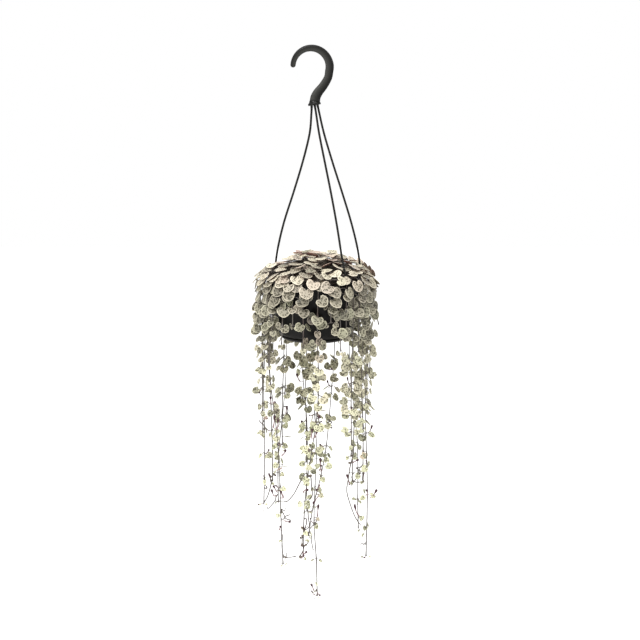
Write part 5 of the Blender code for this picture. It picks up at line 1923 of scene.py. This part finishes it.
    def build(self) -> None:
        """Makes the foliage's pieces: blades and threads for each quarter, then buds, shoots and beads."""
        for sector in Sector:
            picked = [i for i, stem in enumerate(self.plan.stems) if Sector.of(stem.bearing) is sector]
            leaves = [self.scaled(leaf, self.plan.stems[i].bearing) for i in picked for leaf in self.plan.leaves[i]]
            depths = np.array([-leaf.notch[2] for leaf in leaves])
            nodes = [self.plan.stems[i].name for i in picked]
            name = sector.name.lower()
            blades = self.blades(leaves, depths, 80 + int(sector.value))
            blades.piece(f"blades_{name}", Finishes.LEAF, "silver_leaf", *nodes, sharp=60)
            threads = Surface.merged([*map(self.thread, picked), self.stalks(leaves)])
            threads.piece(f"threads_{name}", Finishes.THREAD, "silver_leaf", *nodes)
        buds = Surface.merged([self.buds(), self.tangle.flowers()])
        buds.piece("flower_buds", Finishes.BUD, "silver_leaf")
        shoots = Surface.merged([self.tendrils(), self.tangle.strings()])
        shoots.piece("side_shoots", Finishes.THREAD, "silver_leaf")
        self.beads().piece("bead_tubers", Finishes.TUBER, "silver_leaf")


@dataclass
class Studio:
    """A pale floor under the hanging plant, soft light and the camera."""

    floor_drop: float = 60.0
    floor_size: float = 9000.0
    sight: Sight = Sight()
    width: float = 640.0
    surround: float = 0.68
    # name, place in metres, side in metres, watts
    lamps: tuple[tuple[str, Triple, float, float], ...] = (
        ("key_light", (-0.8, -1.4, 1.6), 0.8, 38.0), ("right_fill", (1.6, -1.0, 0.5), 1.0, 4.0),
        ("left_fill", (-1.4, -1.2, -0.6), 1.0, 9.0), ("top_light", (0.1, -0.5, 1.8), 1.2, 16.0))

    def floor(self) -> None:
        """Lays a square sheet below the plant."""
        half = self.floor_size / 2
        low = float(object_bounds()[0][2]) / METRES - self.floor_drop
        points = np.array([[x * half, y * half, low] for x, y in ((-1, -1), (1, -1), (1, 1), (-1, 1))])
        finish = StudioFloor("studio_floor", (0.80, 0.80, 0.795), 0.8)
        Surface(points, [np.array([[0, 1, 2, 3]])]).as_object("studio_floor", finish)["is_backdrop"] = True

    def light(self) -> None:
        """Lights the plant: an even white surround, and square soft lamps that face the pot."""
        world = bpy.data.worlds.new("soft_surround")
        bpy.context.scene.world = world
        world.use_nodes = True
        shader = Shader(world.node_tree)
        seen = shader.node("LightPath").outputs["Is Camera Ray"]
        strength = shader.math("MULTIPLY_ADD", seen, 1.0 - self.surround, self.surround)
        shader.plug(world.node_tree.nodes["Background"], {"Color": (1.0, 1.0, 1.0), "Strength": strength})
        for name, place, size, power in self.lamps:
            lamp = bpy.data.lights.new(name, "AREA")
            lamp.shape, lamp.size, lamp.energy = "SQUARE", size, power
            made = placed(name, lamp)
            aim = POT_RIM * METRES - np.array(place)
            made.location = place
            made.rotation_euler = (atan2(hypot(aim[0], aim[1]), -aim[2]), 0.0, atan2(-aim[0], aim[1]))
        bpy.context.scene.view_settings.view_transform = "Standard"

    def camera(self) -> None:
        """Sets the camera in front of the plant, a little above the pot and tilted down to it."""
        data = bpy.data.cameras.new("camera")
        data.sensor_width = 36.0
        data.lens = data.sensor_width * self.sight.focal / self.width
        data.shift_x = 0.5 - self.sight.middle[0] / self.width
        made = placed("camera", data)
        made.location = np.array(self.sight.place) * METRES
        made.rotation_euler = (radians(90.0 - self.sight.tilt), 0.0, 0.0)
        bpy.context.scene.camera = made

    def build(self) -> None:
        """Makes the camera, the floor and the lights."""
        self.camera()
        self.floor()
        self.light()


def main() -> None:
    """Builds every sub-assembly in order."""
    logging.basicConfig(level=logging.INFO, format="%(message)s")
    hook = Hook()
    strands = Strands(hook)
    for part in (Studio(), hook, strands, Pot(), Soil(), ShadeDomeAndOldStems()):
        part.build()
    plan = PlantPlan(strands.lines_in_pot())
    plan.grow()
    tangle = Tangle(plan)
    tangle.add_leaves()
    Foliage(plan, tangle).build()


if __name__ == "__main__":
    main()
